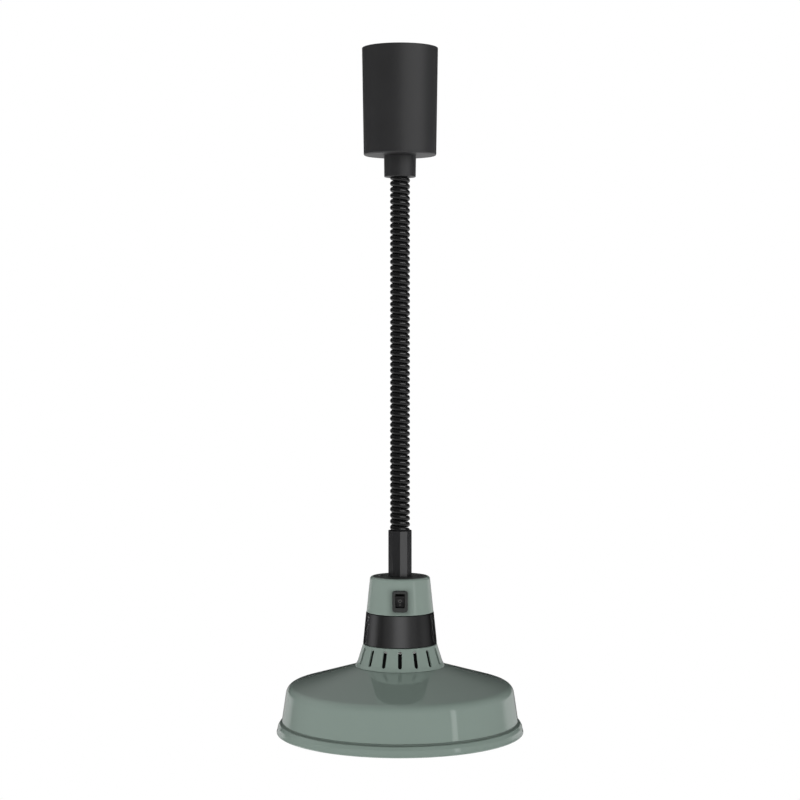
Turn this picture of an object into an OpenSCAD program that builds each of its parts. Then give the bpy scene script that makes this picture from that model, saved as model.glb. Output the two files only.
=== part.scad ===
// Pendant heat lamp that pulls down from a retractor in its ceiling canister.
// The origin is on the ceiling, on the lamp's centre line. +Z is up, so the lamp hangs below zero.
// The rocker switch faces -Y. Every length is in millimetres.

/* [Canister] */
// Radius of the canister where it meets the ceiling
canister_top_r = 38; // [36:0.5:46]
// Radius of the canister at its lower edge
canister_low_r = 36.3; // [35:0.1:38]
// Height of the canister
canister_h = 107.4; // [95:0.1:140]
// Wall thickness of the canister
canister_wall = 1.8; // [1.2:0.1:2.4]
// Thickness of the canister's floor
canister_floor = 2; // [1.5:0.1:4]
// Radius of the canister's lower edge
canister_fillet = 1.6; // [0.6:0.1:3]

/* [Ceiling plate] */
// Thickness of the plate that is screwed to the ceiling
plate_t = 2; // [1.5:0.1:3]
// Depth of the plate's turned down rim
rim_h = 13; // [11:0.5:20]
// Thickness of the rim
rim_t = 1.6; // [1:0.1:2.5]
// Distance between the two ceiling screw holes
ceiling_hole_gap = 52; // [48:1:56]
// Diameter of a ceiling screw hole
ceiling_hole_d = 5.2; // [4:0.1:6]
// Diameter of the hole for the house wiring
wiring_hole_d = 11; // [8:0.5:12]

/* [Retractor] */
// Radius on which the steel rope winds
winding_r = 12.5; // [11:0.5:13.5]
// Width of the drum between its flanges
drum_w = 24; // [20:0.5:25]
// Height of the drum's flanges above the core
flange_h = 3.8; // [2.5:0.1:4]
// Radius of the drum's fixed axle
axle_r = 3; // [2.5:0.1:3.5]
// Distance from the ceiling to the axle
axle_drop = 42; // [38:0.5:44]
// Thickness of the frame's sheet steel
frame_t = 2; // [1.5:0.1:2.5]
// Height of the retractor frame
frame_h = 72; // [68:0.5:78]
// Thickness of the power spring's strip
spring_t = 0.5; // [0.3:0.05:0.6]
// Turns of the power spring
spring_turns = 5; // [3:1:6]

/* [Gland collar] */
// Radius of the collar at its top
collar_top_r = 16.05; // [15:0.05:19]
// Radius of the collar at its lower edge
collar_low_r = 15.75; // [14.5:0.05:18]
// Height of the collar below the canister
collar_h = 21.6; // [21:0.1:30]
// Thickness of the collar's inner floor
collar_floor = 3.5; // [2.5:0.1:4]

/* [Cord and rope] */
// Diameter of the curly cord's sheath
wire_d = 5.4; // [4.6:0.1:5.8]
// Radius of the curls, to the middle of the sheath
curl_r = 7.33; // [6.6:0.01:7.6]
// Gap between one curl and the next with the lamp pulled up
curl_gap = 0.63; // [0.5:0.01:1.2]
// Radius of the bend where the last curl turns into the collar and the grip
end_bend_r = 5; // [4.5:0.1:5.5]
// Height of the curls between the collar and the grip
cord_drop = 353; // [300:1:420]
// Diameter of the steel rope inside the curls
rope_d = 1.6; // [1.2:0.1:2]

/* [Pull grip] */
// Width of the ten-sided grip across its flats
grip_flats = 23.3; // [23:0.1:28]
// Height of the grip
grip_h = 45.7; // [44:0.1:60]
// Thickness of the web inside the grip that the rope pulls on
grip_web = 5; // [4:0.1:7]
// Radius of the threaded stem below the grip
stem_r = 5; // [4.5:0.1:6]

/* [Hood cap] */
// Radius of the hood at the top of its wall
hood_top_r = 29.8; // [29:0.1:33]
// Radius of the hood at its lower rim
hood_low_r = 33.45; // [33.2:0.05:36]
// Height of the hood
hood_h = 35.7; // [35:0.1:42]
// Wall thickness of the hood
hood_wall = 2; // [1.6:0.1:2.2]
// Radius of the hood's top edge
hood_fillet = 3; // [1.5:0.1:4]
// Distance of each top screw from the centre line
top_screw_x = 19.3; // [17:0.1:20]

/* [Band] */
// Radius of the band at its top
band_top_r = 33.8; // [33.5:0.1:36]
// Radius of the band at its bottom
band_low_r = 36.9; // [36.2:0.1:39]
// Height of the band
band_h = 31; // [29:0.1:40]

/* [Vent collar] */
// Radius of the vent collar below the band
vent_top_r = 36.8; // [36.5:0.1:38.5]
// Radius of the vent collar above its foot
vent_low_r = 42.4; // [41:0.1:44]
// Radius of the vent collar's foot
vent_foot_r = 44.5; // [44:0.1:47]
// Height of the vent collar
vent_h = 22.3; // [22:0.1:28]
// Wall thickness of the vent collar
vent_wall = 1.6; // [1.2:0.1:2]
// Number of vent slots
slot_count = 16; // [8:1:20]
// Width of a vent slot
slot_w = 3.8; // [2:0.1:5]
// Length of a vent slot
slot_len = 17; // [10:0.1:17.5]

/* [Shade] */
// Radius of the shade's wall at the shoulder
shoulder_r = 112.9; // [105:0.1:125]
// Radius of the shade's wall at the ledge
ledge_r = 118.1; // [112:0.1:127]
// Radius of the shade's lip
lip_r = 123.1; // [121.5:0.1:132]
// Height of the shade
shade_h = 66; // [62:0.1:90]
// Fall of the shade's cone from the vent collar to the shoulder
cone_fall = 20.6; // [16:0.1:24]
// Height of the lip below the ledge
lip_h = 12.7; // [10:0.1:15]
// Radius of the shoulder between the cone and the wall
shoulder_fillet = 9.4; // [3:0.2:12]
// Wall thickness of the shade
shade_wall = 1.2; // [0.8:0.1:1.6]
// Radius of the hole in the middle of the shade
shade_hole_r = 34.5; // [33:0.1:35.5]

/* [Switch] */
// Width of the switch's bezel
bezel_w = 15; // [14:0.1:16]
// Height of the switch's bezel
bezel_h = 21; // [20:0.1:22]
// Distance from the hood's top to the middle of the switch
switch_drop = 21.3; // [20.5:0.1:21.5]
// Depth of the switch's body behind the bezel
switch_depth = 16; // [12:0.5:17]
// Angle through which the rocker tips
rocker_throw = 20; // [14:1:22]

/* [Lamp] */
// Radius of the ceramic lampholder
holder_r = 20.5; // [19:0.1:21.5]
// Height of the ceramic lampholder
holder_h = 41; // [38:0.5:44]
// Radius of the lamp's screw cap
cap_r = 13.15; // [12.6:0.05:13.2]
// Radius of the lamp's glass at its widest
bulb_r = 40; // [32:0.5:47]
// Length of the lamp with its cap
bulb_len = 110; // [104:0.5:111]
// Thickness of the lamp's glass
glass_t = 1; // [0.6:0.1:2]

/* [Hidden] */
$fn = 64;

black = [0.13, 0.13, 0.135];
sage = [0.44, 0.49, 0.45];
zinc = [0.72, 0.73, 0.74];
brass_tone = [0.8, 0.64, 0.32];
ivory = [0.93, 0.92, 0.87];

// Clearance of a screw or pin in its hole, of a moving fit, and of a piece slipped into another
pin_gap = 0.05;
run_gap = 0.05;
slip_gap = 0.2;

// Levels from the ceiling down
canister_z = -canister_h;
collar_z = canister_z - collar_h;
grip_z = collar_z - cord_drop;
hood_z = grip_z - grip_h;
band_z = hood_z - hood_h;
vent_z = band_z - band_h;
shade_z = vent_z - vent_h;
mouth_z = shade_z - shade_h;

// Curly cord: a left-handed helix whose ends turn upright, so that they stand square on their seats
pitch = wire_d + curl_gap;
lead_angle = atan(pitch / (360 * curl_r * PI / 180));
bend_turn = 90 - lead_angle;
bend_reach = end_bend_r * tan(bend_turn / 2);
curl_top_z = collar_z + wire_d + 0.26;
curl_count = ceil((curl_top_z - grip_z + wire_d / 2 + 0.3) / pitch);
curl_low_z = curl_top_z - curl_count * pitch;
cord_top_z = curl_top_z + bend_reach + wire_d;
cord_low_z = curl_low_z - bend_reach - wire_d;
cord_x = -curl_r;
cord_bore_r = curl_r + wire_d / 2 + 0.4;
ring_sides = 6;
rings_per_curl = 8;
// Six flat sides hold the round sheath's section when their corners stand a little outside it
ring_swell = 1.05;

// Ceiling plate and cover
cover_gap = 0.4;
cover_screw_z = -7;
cover_screw_r = 1.75;
cover_head_r = 3.2;
cover_head_h = 1.6;
cover_screw_len = 6;
wiring_hole_x = -24;
earth_place = [-22, 15];

// Retractor
axle_z = -axle_drop;
drum_core_r = winding_r - rope_d / 2 - pin_gap;
winding_low_y = -drum_w / 2;
winding_high_y = -rope_d / 2 - pin_gap;
drum_flange_r = drum_core_r + flange_h;
drum_wall = 1.7;
drum_web = 1.5;
drum_half = drum_w / 2 + drum_web;
drum_boss_h = 1.2;
frame_in = drum_half + drum_boss_h + 0.5;
frame_out = frame_in + frame_t;
frame_low_x = -17;
frame_high_x = winding_r + drum_flange_r;
frame_z = -plate_t - frame_h;
frame_screw_places = [[winding_r + 8, 0], [2, frame_in - 4], [2, 4 - frame_in]];
clip_t = 1;
clip_r = axle_r + 2.2;
clip_groove = 0.4;
guide_r = 4;
guide_flange_r = 6;
guide_lip_r = 4.7;
guide_t = 1.5;
tail_x = -11.5;

// Terminal block
block_size = [12, 25, 14];
block_mid_x = tail_x;
block_top_z = -plate_t - frame_t;
block_low_z = block_top_z - block_size.z;
terminal_pitch = 8;
terminal_screw_r = 1.6;

// Cord clamp inside the canister
clamp_size = [8, 19, 6];
clamp_screw_y = 6.8;
clamp_z = frame_z + frame_t;

// Gland collar
thread_r = cord_bore_r + 2;
collar_rise = 8.4;
nut_h = 5;
nut_r = thread_r + 5.6;

// Grip
grip_r = grip_flats / 2 / cos(18);
chamber_r = cord_bore_r;
grip_step = 0.4;
spigot_h = 8;
ferrule_r = 2.4;
ferrule_h = 8;
washer_r = 4;
washer_t = 1;
stem_bore_r = 3.2;
stem_drop = 10.3;
stem_nut_h = 5;
stem_nut_r = stem_r + 4.2;
web_low_z = cord_low_z - grip_web;
spigot_top_z = hood_z + spigot_h;

// Hood, band and vent collar
hood_in_z = hood_z - hood_wall;
hood_slope = (hood_low_r - hood_top_r) / hood_h;
ledge_t = 2.5;
neck_h = 14.6;
neck_r = band_top_r - 2.4;
neck_wall = 1.8;
vent_neck_r = band_low_r - 3.8;
vent_neck_h = 11.4;
boss_count = 3;
boss_first = 90;
boss_ring_r = 24.8;
boss_r = 3.4;
tie_r = 1.95;
tie_grip = 12;
lug_t = 3;
lug_r = 4.2;
vent_slope = (vent_low_r - vent_top_r) / (vent_h - 4.1);
slot_top_gap = 3;
vent_flange_t = 1.5;

// Lampholder bracket
strap_t = 1.5;
strap_w = 12;
strap_half = 24.4;
strap_top_z = hood_in_z;
holder_top_z = band_z + 1.4;
holder_screw_x = 9;

// Shade
foot_screw_ring_r = (shade_hole_r + vent_foot_r) / 2 - 0.6;
shade_flange_r = vent_foot_r - 1.5;

// Switch, in its own frame: +Z out of the hood's wall, +Y up, zero on the wall
switch_z = hood_z - switch_drop;
switch_wall_r = hood_top_r + hood_slope * switch_drop;
switch_lean = atan(hood_slope);
bezel_back = -0.9;
bezel_front = 1.9;
bezel_corner = 2.8;
body_w = bezel_w - 2;
body_h = bezel_h - 1.8;
window_w = bezel_w - 5.9;
window_h = bezel_h - 7.5;
window_y = 0.6;
pivot_z = -4;
pivot_r = 0.9;
rocker_half = window_h / 2 - 0.95;
terminal_len = 8;
terminal_y = 5;
blade_w = 4.8;
blade_t = 0.8;

// Lampholder and lamp
cavity_r = cap_r + 0.9;
shell_t = 0.4;
contact_z = holder_top_z - 8;
cavity_top_z = contact_z + 3;
holder_low_z = holder_top_z - holder_h;
cap_h = 26;
cap_low_z = contact_z - cap_h;
cap_wall = 0.6;
neck_glass_r = cap_r - cap_wall - 0.3;
bulb_face_z = contact_z - bulb_len;
core_r = 0.9;
core_ring = 1.35;

function unit(v) = v / norm(v);

// Arc points about c from angle a to angle b
function arc(c, r, a, b, n = 6) = [for (i = [0:n]) let (t = a + (b - a) * i / n) c + r * [cos(t), sin(t)]];

// Points that round the corner p between a and b; a short side limits the radius
function corner(a, p, b, r, n) =
    let (u = unit(a - p), w = unit(b - p), half = acos(max(-1, min(1, u * w))) / 2)
    r <= 0 || half > 89 ? [p] :
    let (reach = min(r / tan(half), 0.48 * norm(a - p), 0.48 * norm(b - p)),
         c = p + unit(u + w) * reach / cos(half), q = p + u * reach - c, s = p + w * reach - c,
         turn = (180 - 2 * half) * sign(q.x * s.y - q.y * s.x))
    [for (i = [0:n]) let (t = turn * i / n)
        c + [q.x * cos(t) - q.y * sin(t), q.x * sin(t) + q.y * cos(t)]];

// Path with rounded corners from a list of [x, y, radius]
function rounded(path, n = 6) = [
    for (i = [0:len(path) - 1]) let (p = [path[i].x, path[i].y])
        each (i == 0 || i == len(path) - 1 ? [p] :
            corner([path[i - 1].x, path[i - 1].y], p, [path[i + 1].x, path[i + 1].y], path[i].z, n))];

// Normal to the left of an open path at its point i
function path_normal(p, i) =
    let (a = unit(p[min(i + 1, len(p) - 1)] - p[min(i, len(p) - 2)]), b = unit(p[max(i, 1)] - p[max(i - 1, 0)]),
         m = unit(a + b))
    [-m.y, m.x] / max(0.5, m * a);

// Closed outline of a sheet of thickness t that lies to the right of a path
function sheet_outline(p, t) = concat(p, [for (i = [len(p) - 1:-1:0]) p[i] - t * path_normal(p, i)]);

// Rectangle with round corners, about the origin
function round_rect(w, h, r, n = 6) = [
    for (k = [0:3]) each arc([(k == 0 || k == 3 ? 1 : -1) * (w / 2 - r), (k < 2 ? 1 : -1) * (h / 2 - r)],
        r, 90 * k, 90 * k + 90, n)];

// Catmull-Rom curve through points, with n steps to a stretch
function smooth(p, n) = concat(
    [for (i = [0:len(p) - 2], k = [0:n - 1])
        let (t = k / n, a = p[max(i - 1, 0)], b = p[i], c = p[i + 1], d = p[min(i + 2, len(p) - 1)])
        0.5 * (2 * b + (c - a) * t + (2 * a - 5 * b + 4 * c - d) * t * t + (3 * b - a - 3 * c + d) * t * t * t)],
    [p[len(p) - 1]]);

function cover_inner_r(z) = canister_top_r - canister_wall + (canister_top_r - canister_low_r) * z / canister_h;
function vent_r(z) = vent_top_r + vent_slope * (vent_z - z);

// Helix point at a turn count from the top, on the cylinder of the curls
function on_cylinder(angle, z) = [curl_r * cos(angle), curl_r * sin(angle), z];
// Where a path unrolled from the cylinder runs: s along the circumference, z up
function bend_down(k, n) = let (t = bend_turn * k / n) [end_bend_r * (1 - cos(t)), -end_bend_r * sin(t)];

// Route of the curly cord as [angle, z, steepness], from the collar's floor to the grip's web
arc_deg = 180 / (PI * curl_r);
bend_steps = 4;
helix_from = bend_reach * cos(lead_angle) * arc_deg / 360;
helix_steps = ceil((curl_count - 2 * helix_from) * rings_per_curl);
cord_route = concat(
    [[180, cord_top_z, 90]],
    [for (k = [0:bend_steps - 1]) let (b = bend_down(k, bend_steps))
        [180 + b.x * arc_deg, curl_top_z + bend_reach + b.y, 90 - bend_turn * k / bend_steps]],
    [for (k = [0:helix_steps]) let (u = helix_from + (curl_count - 2 * helix_from) * k / helix_steps)
        [180 + 360 * u, curl_top_z - pitch * u, lead_angle]],
    [for (k = [bend_steps - 1:-1:0]) let (b = bend_down(k, bend_steps))
        [180 + 360 * curl_count - b.x * arc_deg, curl_low_z - bend_reach - b.y, 90 - bend_turn * k / bend_steps]],
    [[180 + 360 * curl_count, cord_low_z, 90]]);
function cord_point(i) = on_cylinder(cord_route[i][0], cord_route[i][1]);
cord_rings = [for (i = [0:len(cord_route) - 1])
    let (a = cord_route[i][0], s = cord_route[i][2], out = [cos(a), sin(a), 0],
         side = [sin(a) * sin(s), -cos(a) * sin(s), -cos(s)])
    [for (k = [0:ring_sides - 1]) let (t = 360 * k / ring_sides)
        cord_point(i) + wire_d / 2 * ring_swell * (out * cos(t) + side * sin(t))]];
// Least distance between a ring's points and those about one curl further on
curl_clear = min([for (i = [0:len(cord_rings) - rings_per_curl - 2], j = [i + rings_per_curl - 1:i + rings_per_curl + 1],
    p = cord_rings[i], q = cord_rings[j]) norm(p - q)]);
echo(curls = curl_count, least_gap_between_curls = curl_clear);

// Tube through given rings of points, closed at both ends
module skin(rings) {
    n = len(rings[0]);
    m = len(rings);
    polyhedron(
        points = [for (r = rings) each r],
        faces = concat(
            [for (k = [1:n - 2]) [0, k, k + 1]],
            [for (i = [0:m - 2], k = [0:n - 1]) [i * n + k, (i + 1) * n + k, i * n + (k + 1) % n]],
            [for (i = [0:m - 2], k = [0:n - 1]) [i * n + (k + 1) % n, (i + 1) * n + k, (i + 1) * n + (k + 1) % n]],
            [for (k = [1:n - 2]) [(m - 1) * n, (m - 1) * n + k + 1, (m - 1) * n + k]]));
}

// Round wire along a path; its first and last rings lie level
module wire(path, r, sides = 6, ref = [0, 1, 0]) {
    last = len(path) - 1;
    skin([for (i = [0:last])
        let (t = i == 0 ? unit(path[1] - path[0]) : i == last ? unit(path[last] - path[last - 1]) :
                 unit(path[i + 1] - path[i - 1]),
             a = unit(cross(ref, t)), b = cross(t, a))
        [for (k = [0:sides - 1]) path[i] + r * (a * cos(360 * k / sides) - b * sin(360 * k / sides))]]);
}

module revolve(points) {
    rotate_extrude($fn = 96) polygon(points);
}

// Tube about +Z from z low to z high
module ring(outer, inner, low, high) {
    translate([0, 0, low]) difference() {
        cylinder(r = outer, h = high - low);
        translate([0, 0, -1]) cylinder(r = inner, h = high - low + 2);
    }
}

// Screw that points up: the head's top is at zero, and the driver's slot opens downwards
module screw(r, length, head_r, head_h) {
    difference() {
        union() {
            translate([0, 0, -head_h]) cylinder(r = head_r, h = head_h);
            cylinder(r = r - pin_gap, h = length);
        }
        translate([-head_r - 1, -0.4, -head_h - 1]) cube([2 * head_r + 2, 0.8, 1 + head_h * 0.4]);
    }
}

module at_bosses() {
    for (k = [0:boss_count - 1]) rotate(boss_first + 360 * k / boss_count) translate([boss_ring_r, 0, 0]) children();
}

module at_foot_screws() {
    for (k = [0:boss_count - 1]) rotate(boss_first + 60 + 360 * k / boss_count)
        translate([foot_screw_ring_r, 0, 0]) children();
}

// The switch's own frame on the hood's front wall
module at_switch() {
    translate([0, -switch_wall_r, switch_z]) rotate([90 - switch_lean, 0, 0]) children();
}

// Places a child drawn along +Z on each side of the canister, pointing in from the wall's outside
module at_cover_screws() {
    for (side = [0, 180]) rotate(side)
        translate([canister_top_r + (canister_top_r - canister_low_r) * cover_screw_z / canister_h, 0, cover_screw_z])
            rotate([0, -90, 0]) children();
}

module ceiling_plate() {
    rim_r = cover_inner_r(-rim_h) - cover_gap;
    color(zinc) difference() {
        union() {
            translate([0, 0, -plate_t]) cylinder(r = rim_r, h = plate_t);
            ring(rim_r, rim_r - rim_t, -rim_h, 0);
        }
        for (side = [-1, 1]) translate([0, side * ceiling_hole_gap / 2, -plate_t - 1])
            cylinder(d = ceiling_hole_d, h = plate_t + 2);
        translate([wiring_hole_x, 0, -plate_t - 1]) cylinder(d = wiring_hole_d, h = plate_t + 2);
        for (p = frame_screw_places) translate([p.x, p.y, -plate_t - 1]) cylinder(r = 2, h = plate_t + 2);
        translate([earth_place.x, earth_place.y, -plate_t - 1]) cylinder(r = 2, h = plate_t + 2);
        at_cover_screws() cylinder(r = cover_screw_r, h = cover_screw_len + 2);
    }
}

module earth_screw() {
    color(brass_tone) translate([earth_place.x, earth_place.y, -plate_t]) screw(2, plate_t, 3.5, 2.5);
}

module canister_cover() {
    hole_r = thread_r + slip_gap;
    color(black) difference() {
        revolve(concat(
            rounded([[canister_top_r, 0, 0], [canister_low_r, canister_z, canister_fillet], [hole_r, canister_z, 0]]),
            [[hole_r, canister_z + canister_floor], [cover_inner_r(canister_z + canister_floor), canister_z + canister_floor],
             [cover_inner_r(0), 0]]));
        at_cover_screws() {
            translate([0, 0, -1]) cylinder(r = cover_head_r + pin_gap, h = 1.001);
            cylinder(r1 = cover_head_r + pin_gap, r2 = cover_screw_r, h = cover_head_h);
            cylinder(r = cover_screw_r, h = cover_screw_len);
        }
    }
}

module cover_screws() {
    color(black) at_cover_screws() difference() {
        union() {
            translate([0, 0, 0.15]) cylinder(r1 = cover_head_r - 0.1, r2 = cover_screw_r - pin_gap, h = cover_head_h - 0.15);
            cylinder(r = cover_screw_r - pin_gap, h = cover_screw_len);
        }
        for (turn = [0, 90]) rotate(turn) translate([-1.6, -0.35, -1]) cube([3.2, 0.7, 2]);
    }
}

module retractor_frame() {
    depth = frame_high_x - frame_low_x;
    color(zinc) difference() {
        translate([frame_low_x, -frame_out, frame_z]) cube([depth, 2 * frame_out, frame_h]);
        translate([frame_low_x - 1, -frame_in, frame_z + frame_t]) cube([depth + 2, 2 * frame_in, frame_h - 2 * frame_t]);
        translate([winding_r, -frame_out - 1, axle_z]) rotate([-90, 0, 0])
            cylinder(r = axle_r + pin_gap, h = 2 * frame_out + 2);
        translate([0, 0, frame_z - 1]) cylinder(r = guide_r, h = frame_t + 2);
        translate([tail_x, 0, frame_z - 1]) cylinder(r = wire_d / 2 + 0.5, h = frame_t + 2);
        for (side = [-1, 1]) translate([tail_x, side * clamp_screw_y, frame_z - 1]) cylinder(r = 1.5, h = frame_t + 2);
        for (p = frame_screw_places) translate([p.x, p.y, -plate_t - frame_t - 1]) cylinder(r = 2, h = frame_t + 2);
    }
}

module frame_screws() {
    color(zinc) for (p = frame_screw_places) translate([p.x, p.y, -plate_t - frame_t]) screw(2, plate_t + frame_t, 3.5, 2.5);
}

// Lays a child drawn about +Z along the drum's axis, so that its +Z points along +Y
module at_axle() {
    translate([winding_r, 0, axle_z]) rotate([-90, 0, 0]) children();
}

module drum_axle() {
    half = frame_out + clip_t + 1.2;
    color(zinc) at_axle() difference() {
        translate([0, 0, -half]) cylinder(r = axle_r, h = 2 * half);
        for (side = [-1, 1]) translate([0, 0, side * (frame_out + clip_t / 2)])
            ring(axle_r + 1, axle_r - clip_groove, -clip_t / 2, clip_t / 2);
    }
}

module axle_clips() {
    color(zinc) at_axle() for (side = [-1, 1]) translate([0, 0, side * (frame_out + clip_t / 2)]) difference() {
        ring(clip_r, axle_r - clip_groove + pin_gap, -clip_t / 2, clip_t / 2);
        translate([0, -1.6, -clip_t]) cube([clip_r + 1, 3.2, 2 * clip_t]);
    }
}

// Flat spiral from the axle to just short of the drum's inner wall
module power_spring() {
    first_r = axle_r + spring_t / 2 - 0.05;
    last_r = drum_core_r - drum_wall - 0.5 - spring_t;
    steps = 20 * spring_turns;
    spiral = [for (i = [0:steps]) let (r = first_r + (last_r - first_r) * i / steps, a = 18 * i) [r * cos(a), r * sin(a)]];
    color("steelblue") at_axle() translate([0, 0, -drum_w / 2 + 2]) linear_extrude(drum_w - 4)
        polygon(sheet_outline(spiral, spring_t));
}

module rope_drum() {
    inner_r = drum_core_r - drum_wall;
    color("gainsboro") at_axle() union() {
        ring(drum_core_r, inner_r, -drum_half, drum_half);
        for (side = [-1, 1]) translate([0, 0, side * (drum_half - drum_web / 2)])
            ring(drum_flange_r, inner_r, -drum_web / 2, drum_web / 2);
        ring(inner_r + 0.5, axle_r + run_gap, drum_half - drum_web, drum_half);
        ring(axle_r + 2, axle_r + run_gap, drum_half - 0.5, drum_half + drum_boss_h);
    }
}

module drum_cover() {
    color("gainsboro") at_axle() union() {
        ring(drum_core_r - drum_wall, axle_r + run_gap, -drum_half, -drum_half + drum_web);
        ring(axle_r + 2, axle_r + run_gap, -drum_half - drum_boss_h, -drum_half + 0.5);
    }
}

// Two layers of rope beside the turn that runs down to the lamp
module rope_winding() {
    color("silver") at_axle() ring(drum_core_r + 2 * rope_d, drum_core_r, winding_low_y, winding_high_y);
}

module rope_guide() {
    bore_r = rope_d / 2 + 0.4;
    web_top = frame_z + frame_t;
    color(ivory) revolve([
        [bore_r, web_top + guide_t - 0.8], [bore_r + 0.8, web_top + guide_t], [guide_flange_r, web_top + guide_t],
        [guide_flange_r, web_top], [guide_r - pin_gap, web_top], [guide_r - pin_gap, frame_z], [guide_lip_r, frame_z],
        [guide_r - 0.4, frame_z - guide_t], [bore_r + 0.8, frame_z - guide_t], [bore_r, frame_z - guide_t + 0.8]]);
}

module terminal_block() {
    color(ivory) difference() {
        translate([block_mid_x - block_size.x / 2, -block_size.y / 2, block_low_z]) cube(block_size);
        for (k = [-1, 0, 1], level = [4, 10])
            translate([block_mid_x - block_size.x / 2 - 1, k * terminal_pitch, block_top_z - level]) rotate([0, 90, 0])
                cylinder(r = terminal_screw_r + 0.3, h = 5);
    }
}

module terminal_screws() {
    color(brass_tone) for (k = [-1, 0, 1], level = [4, 10])
        translate([block_mid_x - block_size.x / 2 + 4, k * terminal_pitch, block_top_z - level]) rotate([0, -90, 0])
            difference() {
                cylinder(r = terminal_screw_r, h = 3);
                translate([-0.3, -terminal_screw_r - 1, 2.2]) cube([0.6, 2 * terminal_screw_r + 2, 2]);
            }
}

// Sheathed cord from the collar's floor up to the terminal block
module cord_tail() {
    knee_z = canister_z + 18;
    color(black) wire(concat(
        [[cord_x, 0, cord_top_z], [cord_x, 0, canister_z + 6]],
        smooth([[cord_x, 0, canister_z + 10], [(cord_x + tail_x) / 2, 0, knee_z], [tail_x, 0, knee_z + 8]], 3),
        [[tail_x, 0, frame_z - 4], [tail_x, 0, clamp_z + clamp_size.z], [tail_x, 0, axle_z], [tail_x, 0, block_low_z]]),
        wire_d / 2, 8);
}

module cord_clamp() {
    color(black) difference() {
        translate([tail_x - clamp_size.x / 2, -clamp_size.y / 2, clamp_z]) cube(clamp_size);
        translate([tail_x, 0, clamp_z - 1]) cylinder(r = wire_d / 2 + pin_gap, h = clamp_size.z + 2);
        for (side = [-1, 1]) translate([tail_x, side * clamp_screw_y, clamp_z - 1]) cylinder(r = 1.5, h = clamp_size.z + 2);
    }
}

module clamp_screws() {
    color(zinc) for (side = [-1, 1]) translate([tail_x, side * clamp_screw_y, clamp_z + clamp_size.z])
        mirror([0, 0, 1]) screw(1.5, clamp_size.z + frame_t, 2.4, 1.8);
}

module gland_collar() {
    floor_top = cord_top_z + collar_floor;
    color(black) difference() {
        revolve(concat(
            rounded([[cord_bore_r, canister_z + collar_rise, 0], [thread_r, canister_z + collar_rise, 0.6],
                [thread_r, canister_z, 0], [collar_top_r, canister_z, 0.3], [collar_low_r, collar_z, 0.8],
                [cord_bore_r, collar_z, 0.5], [cord_bore_r, cord_top_z, 0], [0, cord_top_z, 0]], 4),
            [[0, floor_top], [cord_bore_r, floor_top]]));
        translate([0, 0, cord_top_z - 1]) cylinder(r = rope_d / 2 + 0.7, h = collar_floor + 2);
        translate([cord_x, 0, cord_top_z - 1]) cylinder(r = wire_d / 2 + pin_gap, h = collar_floor + 2);
    }
}

module gland_nut() {
    color(zinc) difference() {
        translate([0, 0, canister_z + canister_floor]) cylinder(r = nut_r, h = nut_h, $fn = 6);
        translate([0, 0, canister_z]) cylinder(r = thread_r + pin_gap, h = canister_floor + nut_h + 1);
    }
}

module curly_cord() {
    color(black) skin(cord_rings);
}

module suspension_rope() {
    low_z = web_low_z - washer_t - ferrule_h + 2;
    color("silver") translate([0, 0, low_z]) cylinder(r = rope_d / 2, h = axle_z - low_z);
}

module pull_grip() {
    color(black) difference() {
        union() {
            translate([0, 0, hood_z]) rotate(-90) cylinder(r = grip_r, h = grip_h - grip_step, $fn = 10);
            translate([0, 0, hood_z]) rotate(-90) cylinder(r = grip_r - grip_step, h = grip_h, $fn = 10);
        }
        translate([0, 0, cord_low_z]) cylinder(r = cord_bore_r, h = grip_h);
        translate([0, 0, hood_z - 1]) cylinder(r = chamber_r, h = web_low_z - hood_z + 1);
        translate([0, 0, web_low_z - 1]) cylinder(r = rope_d / 2 + 0.3, h = grip_web + 2);
        translate([cord_x, 0, web_low_z - 1]) cylinder(r = wire_d / 2 + pin_gap, h = grip_web + 2);
    }
}

module rope_ferrule() {
    top_z = web_low_z - washer_t;
    color("silver") difference() {
        translate([0, 0, top_z - ferrule_h]) cylinder(r = ferrule_r, h = ferrule_h);
        translate([0, 0, top_z - ferrule_h + 2]) cylinder(r = rope_d / 2 + pin_gap, h = ferrule_h);
    }
}

module anchor_washer() {
    color(zinc) ring(washer_r, rope_d / 2 + 0.3, web_low_z - washer_t, web_low_z);
}

// Sheathed end of the cord below the grip's web
module cord_end() {
    color(black) translate([cord_x, 0, web_low_z - 3]) cylinder(r = wire_d / 2, h = cord_low_z - web_low_z + 3);
}

module grip_spigot() {
    color(zinc) difference() {
        union() {
            translate([0, 0, hood_z]) cylinder(r = chamber_r - pin_gap, h = spigot_h);
            translate([0, 0, hood_z - stem_drop]) cylinder(r = stem_r, h = stem_drop + 1);
        }
        translate([0, 0, hood_z - stem_drop - 1]) cylinder(r = stem_bore_r, h = spigot_h + stem_drop + 2);
        translate([0, 0, hood_z + spigot_h - 2]) cylinder(r1 = stem_bore_r, r2 = stem_bore_r + 2.5, h = 2.1);
    }
}

module stem_nut() {
    top_z = strap_top_z - strap_t;
    color(zinc) difference() {
        translate([0, 0, top_z - stem_nut_h]) cylinder(r = stem_nut_r, h = stem_nut_h, $fn = 6);
        translate([0, 0, top_z - stem_nut_h - 1]) cylinder(r = stem_r + pin_gap, h = stem_nut_h + 2);
    }
}

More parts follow.
